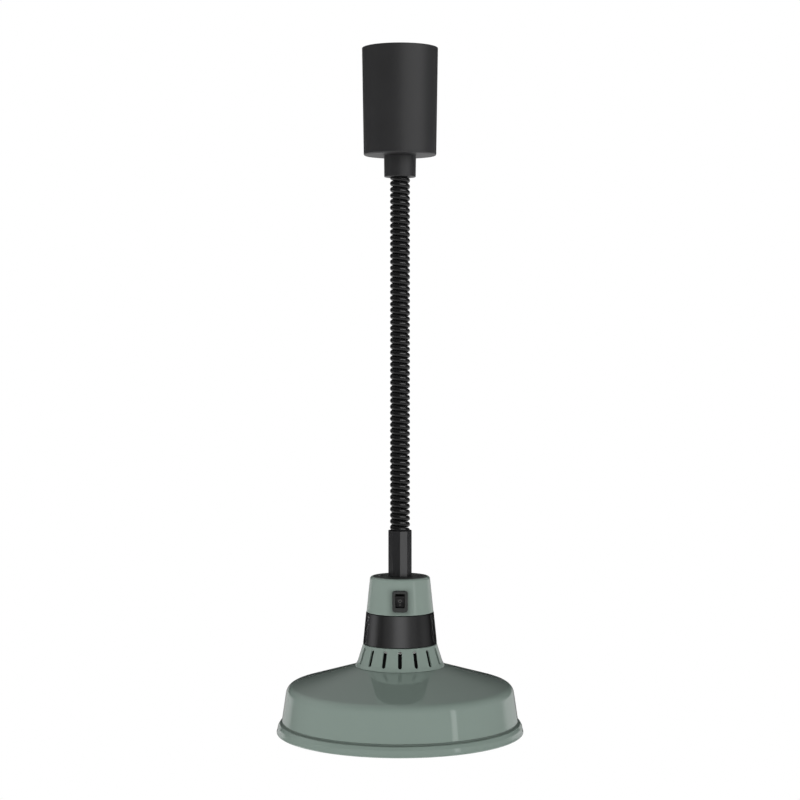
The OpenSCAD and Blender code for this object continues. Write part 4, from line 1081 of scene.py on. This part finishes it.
@dataclass
class Wiring:
    """The cord's sheathed ends inside the canister and the grip, and the four cores of the lamp head."""

    exit_x: float = -7.33
    tail_x: float = -11.5
    tail_z: float = -113.55
    end_z: float = -494.93
    sheath_r: float = 2.7
    core_r: float = 0.9
    lay_r: float = 1.35

    def core_route(self, turn_deg: float, onward: Sequence[Place]) -> list[Place]:
        """Route of a core that leaves the cord's end and crosses to the lamp's axis inside the hollow stem.

        Args:
            turn_deg: its place among the three cores, as an angle from +X.
            onward: the rest of its route.

        Returns:
            Places to pass through.
        """
        x, y = self.lay_r * math.cos(math.radians(turn_deg)), self.lay_r * math.sin(math.radians(turn_deg))
        start = [(self.exit_x + x, y, z) for z in (-502.9, -505, -508)]
        return [*start, (0.86 * self.exit_x + x, y, -510), (x, y, -522), (x, y, -532), (x, y, -538), *onward]

    def run(self, name: str, body: str, slot: str, finish: Finish, node: str, route: Sequence[Place],
            radius: float) -> Piece:
        """Makes one cable: a round tube along the smooth curve through its route, cut square at both ends."""
        path = curve_through(np.array(route, float), 6)
        cable = dress(new_piece(name, [(tube(path, radius, 20), Ends.CAPPED)], sharp_deg=60), finish)
        return settle(cable, body, slot, node)

    def build(self) -> list[Piece]:
        """Makes the sheathed ends and the cores."""
        middle = (self.exit_x + self.tail_x) / 2
        tail = [(self.exit_x, 0, self.tail_z), (self.exit_x, 0, -108), (self.exit_x, 0, -101), (self.exit_x, 0, -97),
                (middle, 0, -89.4), (self.tail_x, 0, -82), (self.tail_x, 0, -78), (self.tail_x, 0, -60),
                (self.tail_x, 0, -40), (self.tail_x, 0, -18)]
        live = self.core_route(-90, [(0, -2.35, -541), (0, -4.3, -545.3), (0, -6.1, -546.5)])
        neutral = self.core_route(30, [(2.2, 2.7, -543), (4, 6, -549), (3, 3, -555), (2.6, 1.6, -560.5),
                                       (2.6, 1.6, -562)])
        earth = self.core_route(150, [(-3.2, 1.7, -542), (-12, 2, -544), (-18, 1, -547), (-21.4, 0, -547),
                                      (-22.9, 0, -547)])
        switched = [(0, -7.6, -556.5), (0, -5.3, -556.6), (0, -2.4, -557.9), (-1.8, -1.4, -560.5), (-1.8, -1.4, -562)]
        end = [(self.exit_x, 0, z) for z in (self.end_z, -499, -502.9)]
        head, sheath, core = "lamp_head", self.sheath_r, self.core_r
        return [
            self.run("cord_tail_sheath", "ceiling_unit", "cord_sheath", Cable.SHEATH, "cord_tail", tail, sheath),
            self.run("cord_end_sheath", head, "cord_sheath", Cable.SHEATH, "cord_end", end, sheath),
            self.run("live_insulation", head, "brown_core", Cable.BROWN, "live_core", live, core),
            self.run("neutral_insulation", head, "blue_core", Cable.BLUE, "neutral_core", neutral, core),
            self.run("earth_insulation", head, "green_yellow_core", Cable.GREEN, "earth_core", earth, core),
            self.run("switched_insulation", head, "brown_core", Cable.BROWN, "switched_core", switched, core),
        ]


@dataclass
class Retractor:
    """The rope's stored turns on the drum and the spiral spring inside it, both about an axle that lies along Y."""

    axle_x: float = 12.5
    axle_z: float = -42.0
    rope_r: float = 0.8
    drum_r: float = 11.65
    low_y: float = -12.0
    high_y: float = -0.85
    lay: float = 11.0
    spring_in_r: float = 3.2
    spring_out_r: float = 8.7
    spring_t: float = 0.5
    spring_w: float = 20.0
    spring_turns: int = 5

    def layer(self, radius: float, way: int) -> np.ndarray:
        """One layer of turns: a helix about the axle whose section has the dips between six strands.

        Args:
            radius: from the axle to the rope's centre line.
            way: 1 where the turns run towards +Y, -1 where they run back.

        Returns:
            A grid of places.
        """
        length = self.high_y - self.low_y - 2 * self.rope_r
        turns = length / (2 * self.rope_r)
        u = np.linspace(0, turns, int(72 * turns))
        angle = way * 2 * math.pi * u
        out = np.stack([np.cos(angle), 0 * angle, np.sin(angle)], axis=1)
        path = radius * out + np.array([self.axle_x, self.low_y + self.rope_r, self.axle_z])
        path[:, 1] += 2 * self.rope_r * u
        t = full_turn(24)
        wind = 2 * math.pi * (radius * np.abs(angle))[:, None] / self.lay
        return tube(path, self.rope_r * strand_share(t[None] - wind), 24, out)

    def spring(self) -> np.ndarray:
        """The spring: its strip's section swept on a flat spiral, whose radius grows evenly with the angle."""
        section = rounded_rectangle(self.spring_t, self.spring_w, 0.2, 3, 2)
        u = np.linspace(0, 1, 90 * self.spring_turns)[:, None]
        angle = 2 * math.pi * self.spring_turns * u
        first = self.spring_in_r + self.spring_t / 2
        radius = first + (self.spring_out_r - first) * u + section[None, :, 0]
        return np.stack([self.axle_x + radius * np.cos(angle), np.broadcast_to(section[None, :, 1], radius.shape),
                         self.axle_z - radius * np.sin(angle)], axis=2)

    def build(self) -> list[Piece]:
        """Makes the two layers of rope and the spring."""
        layers = [(self.layer(self.drum_r + self.rope_r, 1), Ends.CAPPED),
                  (self.layer(self.drum_r + 3 * self.rope_r, -1), Ends.CAPPED)]
        rope = dress(new_piece("stored_rope", layers, sharp_deg=70), Metal.ROPE)
        spring = dress(new_piece("spiral_spring", [(self.spring(), Ends.CAPPED)], sharp_deg=50), Metal.SPRING)
        return [settle(rope, "drum", "steel_rope", "rope_winding"),
                settle(spring, "ceiling_unit", "spring_steel", "power_spring")]


# ---------------------------------------------------------------------------------------------------------------
# The lamp's rigid pieces
# ---------------------------------------------------------------------------------------------------------------


@dataclass
class PanScrew:
    """A small round-headed screw with a cross recess."""

    head_r: float
    head_h: float
    shank_r: float
    shank_h: float
    recess: float = 0.62

    def build(self, name: str, place: Matrix) -> Piece:
        """Makes the screw, drawn with its head up on z = 0, and moves it to its place.

        The head's crown is a line through four rounded corners turned about the axis; the recess is two crossed bars.

        Args:
            name: the piece's name.
            place: where its seat goes, in metres.

        Returns:
            The screw.
        """
        crown = rounded_line([(0, self.head_h, 0), (0.7 * self.head_r, self.head_h * 0.92, self.head_r),
                              (self.head_r, 0.35 * self.head_h, 0.4), (self.head_r, 0, 0.1), (self.shank_r, 0, 0),
                              (self.shank_r, -self.shank_h + 0.5, 0.3), (0, -self.shank_h, 0)])
        screw = lathed(name, crown, 40, Ends.OPEN)
        bars = []
        for turn in (0, 90):
            outline = rounded_rectangle(1.25 * self.head_r, 0.3 * self.head_r, 0.1 * self.head_r, 3, 2)
            bars.append(prism("bar", outline, self.head_h * (1 - self.recess), self.head_h + 1, turned(turn, "Z")))
        cut_away(screw, bars)
        screw.data.transform(place)
        return screw


@dataclass
class Switch:
    """The rocker switch in the hood's front, drawn in its own frame: x right, y up the wall, z out of it."""

    wall_r: float = 31.978
    height: float = -549.0
    lean_deg: float = 5.838
    width: float = 15.0
    tall: float = 21.0
    corner: float = 2.8
    back: float = -0.9
    front: float = 1.9
    body_w: float = 13.0
    body_h: float = 19.2
    body_back: float = -16.9
    window_w: float = 9.1
    window_h: float = 13.5
    window_y: float = 0.6
    pivot: float = -4.0
    tilt_deg: float = 10.0
    half_width: float = 4.4

    @property
    def place(self) -> Matrix:
        """The switch's frame in the lamp's, in metres."""
        return shift(0, -self.wall_r, self.height) @ turned(90 - self.lean_deg, "X")

    def cutters(self) -> list[Piece]:
        """Closed bars that open the hood for the bezel and for the body behind it."""
        face = rounded_rectangle(self.width + 0.2, self.tall + 0.2, self.corner)
        body = rounded_rectangle(self.width - 1.8, self.tall - 1.6, 0.5)
        return [prism("bezel_seat", face, self.back, 8, self.place), prism("body_hole", body, -8, 2, self.place)]

    def bezel(self) -> Piece:
        """Body, frame and window: rounded rectangles stacked from back to front and down into the window."""
        rows = [(self.body_w, self.body_h, 0.6, 0, self.body_back), (self.body_w, self.body_h, 0.6, 0, self.back),
                (self.width, self.tall, self.corner, 0, self.back),
                (self.width, self.tall, self.corner, 0, self.front - 0.85),
                (self.width - 0.12, self.tall - 0.12, self.corner, 0, self.front - 0.6)]
        for t in np.linspace(0, math.pi / 2, 5):
            in_by = 0.2 + 1.0 * (1 - math.cos(t))
            rows.append((self.width - in_by, self.tall - in_by, self.corner - in_by / 2, 0,
                         self.front - 0.5 + 0.5 * math.sin(t)))
        rows += [(self.width - 1.7, self.tall - 1.7, self.corner - 0.8, 0, self.front),
                 (self.window_w + 1.0, self.window_h + 1.0, 0.9, self.window_y, self.front - 0.02),
                 (self.window_w + 0.35, self.window_h + 0.35, 0.6, self.window_y, self.front - 0.1),
                 (self.window_w, self.window_h, 0.45, self.window_y, self.front - 0.4),
                 (self.window_w, self.window_h, 0.45, self.window_y, self.pivot - 5.5)]
        grid = [at_height(rounded_rectangle(width, height, corner) + (0, lift), level)
                for width, height, corner, lift, level in rows]
        bezel = new_piece("switch_bezel", [(np.stack(grid), Ends.CAPPED)], 40, self.place)
        dress(bezel, Paint.SWITCH_BLACK)
        out = np.array(self.place.to_3x3() @ Vector((0, 0, 1)))
        # Sides and window walls darker than the front: painted shade on the bezel's edges.
        dress_part(bezel, Paint.EDGE_PAINTED_SHADE, lambda middles, normals: normals @ out < 0.9)
        return settle(bezel, "lamp_head", "black_plastic", "switch_body")

    def paddle_line(self) -> np.ndarray:
        """The paddle's outline from the side, as (height up the face, distance out of the pivot)."""
        return rounded_line([(-2, -1.6, 0.2), (-5.8, 2.7, 0.3), (-5.8, 4.95, 0.5), (-1.0, 4.2, 6), (3.5, 4.3, 0.12),
                             (3.62, 4.95, 0.2), (5.8, 5.1, 0.5), (5.8, 2.7, 0.3), (2, -1.6, 0.2)], closed=True,
                             steps=5, support=0.15)

    def face_height(self, y: np.ndarray) -> np.ndarray:
        """Distance of the paddle's face from the pivot at a height up it, read off its outline."""
        line = self.paddle_line()
        face = line[(line[:, 1] > 3.9) & (line[:, 0] > -5.4) & (line[:, 0] < 3.4)]
        face = face[np.argsort(face[:, 0])]
        return np.interp(y, face[:, 0], face[:, 1])

    def rocker(self) -> list[Piece]:
        """Makes the paddle with softened ends, its printed ring and dot, tipped with its lower half in.

        The paddle is its outline swept across, drawn in by a quarter circle of 0.35 mm at each end; ring and dot are
        shallow rings laid on the face, whose height they take from its outline.
        """
        line = self.paddle_line()
        middle = line.mean(axis=0)
        rows = []
        for side in (-1, 1):
            turn = np.linspace(0, math.pi / 2, 5)
            for t in turn if side < 0 else turn[::-1]:
                shrunk = middle + (line - middle) * (1 - 0.05 * (1 - math.sin(t)))
                reach = side * (self.half_width - 0.35 + 0.35 * math.cos(t))
                rows.append(np.column_stack([np.full(len(line), reach), shrunk]))
        tip = self.place @ shift(0, self.window_y, self.pivot) @ turned(self.tilt_deg, "X")
        paddle = dress(new_piece("rocker_paddle", [(np.stack(rows), Ends.CAPPED)], 40, tip), Paint.ROCKER_BLACK)
        marks = [self.mark("rocker_ring", 0.5, 1.25, 1.55, tip), self.mark("rocker_dot", -3.1, 0.0, 0.42, tip)]
        settle(paddle, "switch_rocker", "rocker_plastic", "rocker")
        return [paddle, *(settle(mark, "switch_rocker", "light_plastic") for mark in marks)]

    def mark(self, name: str, y: float, inner: float, outer: float, tip: Matrix) -> Piece:
        """Printed ring or dot: a circle swept through a low section that stands on the face.

        Args:
            name: the mark's name.
            y: its height up the face.
            inner: inner radius, or 0 for a dot.
            outer: outer radius.
            tip: the paddle's frame.

        Returns:
            The mark.
        """
        t = full_turn(48)
        section = [(outer, -0.1), (outer, 0.04), (max(inner, 0.01), 0.04), (max(inner, 0.01), -0.1)]
        rows = []
        for radius, rise in section:
            up = y + radius * np.sin(t)
            rows.append(np.column_stack([radius * np.cos(t), up, self.face_height(up) + rise]))
        return dress(new_piece(name, [(np.stack(rows), Ends.JOINED)], 40, tip), Paint.MARK_WHITE)


@dataclass
class Hood:
    """The hood over the lampholder, with its neck for the band, the switch's opening and two screws in its top."""

    top: float = -527.7
    band: float = -563.4
    top_r: float = 29.8
    low_r: float = 33.45
    fillet: float = 3.0
    wall: float = 2.0
    hole_r: float = 5.2
    neck_r: float = 31.4
    neck_h: float = 14.6
    screw_x: float = 19.3
    seam: float = 0.35

    def build(self, switch: Switch) -> list[Piece]:
        """Makes the hood, cut open for the switch, and its two screws.

        Args:
            switch: the rocker switch that sits in its front.

        Returns:
            The hood and its screws.
        """
        inner_r = self.low_r - self.wall - (self.low_r - self.top_r) / (self.top - self.band) * 2.5
        profile = np.vstack([
            rounded_line([(self.hole_r, self.top, 0), (self.top_r, self.top, self.fillet),
                          (self.low_r, self.band + self.seam, 0.5),
                          (self.neck_r, self.band + self.seam, 0.1), (self.neck_r, self.band - self.neck_h, 0.5)],
                          steps=9),
            rounded_line([(self.neck_r - 1.8, self.band - self.neck_h, 0), (self.neck_r - 1.8, self.band + 2.5, 0.3),
                          (inner_r, self.band + 2.5, 0.3), (self.top_r - self.wall, self.top - self.wall, 1.2),
                          (self.hole_r, self.top - self.wall, 0)])])
        hood = lathed("hood_shell", profile, 256)
        cut_away(hood, switch.cutters())
        dress(hood, Paint.SAGE_HOOD)
        # The flat top round the grip is darkened: painted shade on the face that looks up.
        dress_part(hood, Paint.TOP_PAINTED_SHADE, lambda middles, normals: (middles[:, 2] > self.top - 0.6)
                   & (radii(middles) < self.top_r - self.fillet - 1) & (normals[:, 2] > 0.5))
        settle(hood, "lamp_head", "sage_coat", "hood_cap")
        screws = []
        for side, name, stands_for in ((-1, "hood_screw_left", ("hood_screws",)), (1, "hood_screw_right", ())):
            place = shift(side * self.screw_x, 0, self.top) @ turned(35 * side + 20, "Z")
            screw = dress(PanScrew(2.2, 1.3, 1.7, 5.0).build(name, place), Metal.SCREW)
            screws.append(settle(screw, "lamp_head", "zinc_steel", *stands_for))
        return [hood, *screws]


@dataclass
class Band:
    """The plain black sleeve between the hood and the vent collar."""

    top: float = -563.4
    low: float = -594.4
    top_r: float = 33.8
    low_r: float = 36.9
    top_bore_r: float = 31.6
    low_bore_r: float = 33.3
    step: float = -582.0

    def build(self) -> Piece:
        """Makes the sleeve: its outside with small round edges, and the stepped bore that takes both necks."""
        profile = np.vstack([
            rounded_line([(self.top_bore_r, self.top, 0), (self.top_r, self.top - 0.05, 0.45),
                          (self.low_r, self.low + 0.05, 0.45), (self.low_bore_r, self.low, 0)], steps=6),
            [(self.low_bore_r, self.step), (self.top_bore_r, self.step)]])
        band = dress(lathed("band_shell", profile, 256), Paint.BAND_BLACK)
        return settle(band, "lamp_head", "band_coat", "band_sleeve")


@dataclass
class VentCollar:
    """The slotted collar that stands on the shade and takes the band on its neck."""

    top: float = -594.4
    foot: float = -616.7
    neck_r: float = 33.1
    neck_h: float = 11.4
    top_r: float = 36.8
    low_r: float = 42.4
    foot_r: float = 44.5
    hole_r: float = 34.5
    wall: float = 1.6
    slots: int = 16
    slot_w: float = 3.8
    slot_len: float = 17.0
    slot_gap: float = 3.0
    baffle_gap: float = 4.0
    seam: float = 0.55

    @property
    def slope(self) -> float:
        """Widening of the wall for each millimetre down."""
        return (self.low_r - self.top_r) / (self.top - self.foot - 4.1)

    def slot_cutters(self) -> list[Piece]:
        """Closed bars with round ends, one through the wall at each slot, square to the wall."""
        lean = math.atan(self.slope)
        middle = self.top - self.slot_gap - self.slot_len * math.cos(lean) / 2
        reach = self.top_r + self.slope * (self.top - middle)
        outline = rounded_rectangle(self.slot_w, self.slot_len, self.slot_w / 2 - 0.001, 8, 4)
        made = []
        for k in range(self.slots):
            upright = shift(0, -reach, middle) @ turned(90 - math.degrees(lean), "X")
            made.append(prism("slot", outline, -5, 5, turned(360 * k / self.slots, "Z") @ upright))
        return made

    def baffle(self) -> Piece:
        """Thin near-black ring behind the lower part of the slots: a dark sheet that stands for the shade inside the
        collar; the slots' tops stay open.

        Its section is a line parallel to the wall, closed by the same line one sheet further in.
        """
        high, low = self.top - self.slot_gap - self.baffle_gap, self.foot + 1.9
        inside = self.top_r + self.slope * (self.top - np.array([high, low])) - self.wall * 1.04 - 0.12
        profile = np.column_stack([[inside[0], inside[1], inside[1] - 0.4, inside[0] - 0.4], [high, low, low, high]])
        return settle(dress(lathed("glare_baffle", profile, 160), Paint.PAINTED_SHADE_INSIDE), "lamp_head", "black_coat")

    def build(self) -> list[Piece]:
        """Makes the collar, enamelled outside with painted shade inside, and the dark baffle behind its slots.

        The wall is the outside line, with the fillet of 8 mm that sweeps it out to the foot, and a line one wall
        inside it.
        """
        wall_low = self.top_r + self.slope * (self.top - self.foot - 1.5) - self.wall * 1.04
        outer = rounded_line([(self.neck_r, self.top + self.neck_h, 0), (self.neck_r, self.top - self.seam, 0.2),
                              (self.top_r, self.top - self.seam, 0.3), (self.low_r, self.foot + 4.1, 8),
                              (self.foot_r - 0.1, self.foot + 0.7, 0.3), (self.foot_r, self.foot, 0.15),
                              (self.hole_r, self.foot, 0)], steps=7)
        inner = rounded_line([(self.hole_r, self.foot + 1.5, 0), (wall_low, self.foot + 1.5, 0.4),
                              (self.top_r + self.slope * self.wall - self.wall * 1.04, self.top - self.wall, 0.3),
                              (self.neck_r - self.wall, self.top - self.wall, 0.3),
                              (self.neck_r - self.wall, self.top + self.neck_h, 0)])
        collar = lathed("vent_collar_shell", np.vstack([outer, inner]), 256)
        cut_away(collar, self.slot_cutters())
        dress(collar, Paint.SAGE_HOOD)
        # Inside faces near black: painted shade inside the collar.
        dress_part(collar, Paint.PAINTED_SHADE_INSIDE, lambda middles, normals: (outwardness(middles, normals) < -0.3)
                   & (middles[:, 2] > self.foot + 1))
        settle(collar, "lamp_head", "sage_coat", "vent_collar")
        return [collar, self.baffle()]


@dataclass
class Shade:
    """The spun shade: flat seat, shallow cone, round shoulder, skirt, grooved ledge and a flared lip."""

    top: float = -616.7
    mouth: float = -682.7
    hole_r: float = 34.5
    seat_r: float = 43.0
    shoulder_r: float = 112.9
    cone_fall: float = 20.6
    shoulder_fillet: float = 9.4
    ledge_r: float = 118.1
    lip_r: float = 123.1
    lip_h: float = 10.1
    wall: float = 1.2
    groove_h: float = 2.0
    groove_depth: float = 0.85

    def outside(self, grooved: bool) -> np.ndarray:
        """Outside profile from the hole to the lip's foot, with or without the groove above the ledge.

        Args:
            grooved: whether the crease above the lip is cut in.

        Returns:
            (radius, height) points.
        """
        ledge = self.mouth + self.lip_h
        slope = (self.ledge_r - self.shoulder_r) / (self.lip_h - (self.top - self.cone_fall - self.mouth))
        above = (self.ledge_r + slope * self.groove_h, ledge + self.groove_h)
        crease = [(*above, 0.35), (above[0] - self.groove_depth, ledge + 0.75 * self.groove_h, 0.3),
                  (self.ledge_r - self.groove_depth, ledge - 0.1, 0.3)] if grooved else [(self.ledge_r, ledge, 0.4)]
        return rounded_line([
            (self.hole_r, self.top, 0), (self.seat_r, self.top, 1),
            (self.shoulder_r, self.top - self.cone_fall, self.shoulder_fillet),
            *crease, (self.lip_r - 3.2, ledge - 0.5, 1.2), (self.lip_r - 1.3, self.mouth + 6.4, 2),
            (self.lip_r - 0.65, self.mouth + 2.6, 1.5), (self.lip_r, self.mouth + 0.9, 0.4),
            (self.lip_r, self.mouth + 0.35, 0.3),
            (self.lip_r - 0.35, self.mouth, 0)], steps=8, support=0.5)

    def build(self) -> Piece:
        """Makes the shade, enamelled outside and bright inside, with painted shade in the groove above the lip."""
        inside = offset_line(self.outside(False), self.wall)
        inside[-1] = (self.lip_r - self.wall + 0.35, self.mouth)
        shade = lathed("shade_shell", np.vstack([self.outside(True), inside[::-1]]), 320)
        dress(shade, Paint.SAGE_SHADE)
        dress_part(shade, Metal.INSIDE, lambda middles, normals: (radii(middles) < self.lip_r - 1.5)
                   & ((outwardness(middles, normals) < -0.25) | (normals[:, 2] < -0.6)))
        ledge = self.mouth + self.lip_h
        # Darker sage in the groove above the lip: painted shade in the crease.
        dress_part(shade, Paint.SAGE_CREASE_SHADE, lambda middles, normals: (middles[:, 2] > ledge - 0.6)
                   & (middles[:, 2] < ledge + self.groove_h) & (outwardness(middles, normals) > -0.2)
                   & (radii(middles) < self.ledge_r - 0.25))
        return settle(shade, "lamp_head", "sage_coat", "shade")


@dataclass
class PullGrip:
    """The ten-sided grip that the cord runs into."""

    low: float = -527.7
    tall: float = 45.7
    flats: float = 23.3
    edge_r: float = 0.55
    top_edge_r: float = 0.6
    bore_r: float = 10.43
    bore_floor: float = -494.93
    sides: int = 10

    def outline(self) -> tuple[np.ndarray, np.ndarray]:
        """Angles and radii round the grip.

        At angle a from an edge the flat is at half the width across flats over cos(18 - a) degrees. Nearer the
        edge it is the far side of a circle of edge_r that touches both flats.

        Returns:
            Angles and radii, one for each column.
        """
        half = math.pi / self.sides
        reach = self.flats / 2
        centre = (reach - self.edge_r) / math.cos(half)
        touch = math.atan2(self.edge_r * math.sin(half), centre + self.edge_r * math.cos(half))
        round_part = np.linspace(-touch, touch, 7)
        flat_part = np.linspace(touch, 2 * half - touch, 8)[1:-1]
        away = np.concatenate([round_part, flat_part])
        near = centre * np.cos(away) + np.sqrt(np.maximum(0, self.edge_r**2 - (centre * np.sin(away)) ** 2))
        radius = np.where(np.arange(len(away)) < len(round_part), near,
                          reach / np.cos(half - np.minimum(away, 2 * half - away)))
        angle = (-math.pi / 2 + 2 * half * np.arange(self.sides)[:, None] + away[None]).ravel()
        return angle, np.tile(radius, self.sides)

    def build(self) -> Piece:
        """Makes the grip: outline rows up its side, over its top edge and down its bore to the rope's web."""
        angle, radius = self.outline()
        top = self.low + self.tall
        edge = self.top_edge_r
        rows = [(0.25, self.low), (0.0, self.low + 0.25), (0.0, top - edge)]
        rows += [(edge * (1 - math.cos(t)), top - edge + edge * math.sin(t)) for t in np.linspace(0, math.pi / 2, 6)]
        rings = [(radius - less, z) for less, z in rows]
        rings += [(np.full(len(angle), self.bore_r + 0.25), top), (np.full(len(angle), self.bore_r), top - 0.25),
                  (np.full(len(angle), self.bore_r), self.bore_floor)]
        grid = [np.column_stack([ring * np.cos(angle), ring * np.sin(angle), np.full(len(angle), z)])
                for ring, z in rings]
        grip = dress(new_piece("grip_shell", [(np.stack(grid), Ends.CAPPED)], 14), Paint.GRIP_BLACK)
        return settle(grip, "lamp_head", "grip_coat", "pull_grip")


@dataclass
class Canister:
    """The ceiling canister's cover with its side screws, and the collar that the cord leaves by."""

    low: float = -107.4
    top_r: float = 38.0
    low_r: float = 36.3
    fillet: float = 1.6
    wall: float = 1.8
    floor: float = 2.0
    hole_r: float = 12.63
    screw_z: float = -7.0
    collar_low: float = -129.0
    thread_r: float = 12.43
    collar_top_r: float = 16.05
    collar_low_r: float = 15.75
    bore_r: float = 10.43
    bore_top: float = -113.5525
    web: float = 3.5
    neck_h: float = 8.4
    thread_turns: int = 8
    thread_depth: float = 0.28

    def cover(self) -> Piece:
        """Makes the deep-drawn cover, with a countersunk seat for the screw on each side."""
        inner_low = self.low_r - self.wall
        profile = np.vstack([
            rounded_line([(self.top_r - 0.2, 0, 0), (self.top_r, -0.3, 0.15), (self.low_r, self.low, self.fillet),
                          (self.hole_r, self.low, 0)], steps=9),
            rounded_line([(self.hole_r, self.low + self.floor, 0), (inner_low, self.low + self.floor, 1.0),
                          (self.top_r - self.wall, 0, 0)])])
        cover = lathed("canister_shell", profile, 256)
        seats = []
        for side in (0, 180):
            place = turned(side, "Z") @ shift(self.top_r - 0.11, 0, self.screw_z) @ turned(-90, "Y")
            seat = np.array([(0, -1), (3.25, -1), (3.25, 0), (1.75, 1.6), (1.75, 4), (0, 4)], float)
            seats.append(new_piece("seat", [(revolved(seat, 48), Ends.OPEN)], place=place))
        cut_away(cover, seats)
        dress(cover, Paint.MATT_BLACK)
        dress_part(cover, Metal.ZINC, lambda middles, normals: (outwardness(middles, normals) < -0.3)
                   | ((normals[:, 2] > 0.7) & (middles[:, 2] < -50)))
        return settle(cover, "ceiling_unit", "black_coat", "canister_cover")

    def collar(self) -> Piece:
        """Makes the collar: threaded neck through the cover, slightly tapered skirt and the bore round the cord."""
        thread_rows = np.linspace(0, 1, 97)[1:-1]
        half = self.thread_depth / 2
        thread = np.column_stack([self.thread_r - half + half * np.cos(2 * math.pi * self.thread_turns * thread_rows),
                                  self.low + (self.neck_h - 0.6) * (1 - thread_rows) + 0.1])
        profile = np.vstack([
            [(self.bore_r, self.low + self.neck_h), (self.thread_r - 0.5, self.low + self.neck_h)], thread,
            rounded_line([(self.thread_r, self.low, 0), (self.collar_top_r, self.low - 0.02, 0.35),
                          (self.collar_low_r, self.collar_low, 0.8),
                          (self.bore_r, self.collar_low, 0.5), (self.bore_r, self.bore_top, 0.2),
                          (1.5, self.bore_top, 0)], steps=7),
            [(1.5, self.bore_top + self.web), (self.bore_r, self.bore_top + self.web)]])
        collar = dress(lathed("collar_shell", profile, 192), Paint.COLLAR_BLACK)
        return settle(collar, "ceiling_unit", "black_coat", "gland_collar")

    def build(self) -> list[Piece]:
        """Makes the cover and the collar."""
        return [self.cover(), self.collar()]


@dataclass
class Bulb:
    """The reflector bulb: silvered neck and back, ruby face, thin glass."""

    top: float = -593.0
    face: float = -680.0
    neck_r: float = 11.3
    radius: float = 40.0
    wall: float = 1.0

    def build(self) -> Piece:
        """Makes the envelope: one line from the cap round the back to the face's middle, and one inside it."""
        tall = self.top - self.face
        outer = rounded_line([
            (self.neck_r, self.top, 0), (self.neck_r + 0.6, self.top - 0.18 * tall, 12),
            (0.52 * self.radius, self.top - 0.36 * tall, 20),
            (self.radius, self.top - 0.66 * tall, 14), (self.radius, self.top - 0.78 * tall, 7),
            (0.72 * self.radius, self.face + 3.2, 10),
            (0.3 * self.radius, self.face, 20), (0, self.face, 0)], steps=12, support=1.0)
        inner = outer[::-1].copy()
        inner[:, 0] = np.maximum(0, inner[:, 0] - self.wall)
        inner[:, 1] = np.maximum(inner[:, 1], self.face + self.wall)
        inner[0, 0] = 0
        bulb = lathed("bulb_envelope", np.vstack([outer, inner]), 160)
        dress(bulb, Metal.SILVERED)
        low = self.top - 0.62 * tall
        dress_part(bulb, Cable.RUBY, lambda middles, normals: middles[:, 2] < low)
        return settle(bulb, "lamp_head", "red_glass", "bulb_glass")


def main() -> None:
    """Builds the lamp's pieces in order."""
    logging.basicConfig(level=logging.INFO, format="%(name)s: %(message)s")
    Studio().build()
    CurlyCord().build()
    SteelRope().build()
    switch = Switch()
    pieces = [*Canister().build(), PullGrip().build(), Band().build(), switch.bezel(), *Hood().build(switch),
              *switch.rocker(), *VentCollar().build(), Shade().build(), Bulb().build(), *Wiring().build(),
              *Retractor().build()]
    LOG.info("%d rigid pieces", len(pieces))
    for softbox in SOFTBOXES:
        softbox.hang()
    dressing = {
        Paint.COLLAR_BLACK: ("cover_screws",),
        Paint.SWITCH_BLACK: ("cord_clamp",),
        Paint.IVORY: ("terminal_block", "rope_guide", "rope_drum", "drum_cover"),
        Paint.PORCELAIN: ("lampholder_body",),
        Metal.ZINC: ("ceiling_plate", "retractor_frame", "frame_screws", "drum_axle", "axle_clips", "clamp_screws",
                     "gland_nut", "anchor_washer", "grip_spigot", "stem_nut", "lampholder_bracket", "tie_screws",
                     "shade_screws", "holder_screws"),
        Metal.ROPE: ("rope_ferrule",),
        Metal.BRASS: ("earth_screw", "terminal_screws", "switch_terminals", "lampholder_shell", "lampholder_contact"),
        Metal.CAP: ("bulb_cap",),
    }
    for finish, names in dressing.items():
        for name in names:
            dress(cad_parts[name], finish)


if __name__ == "__main__":
    main()
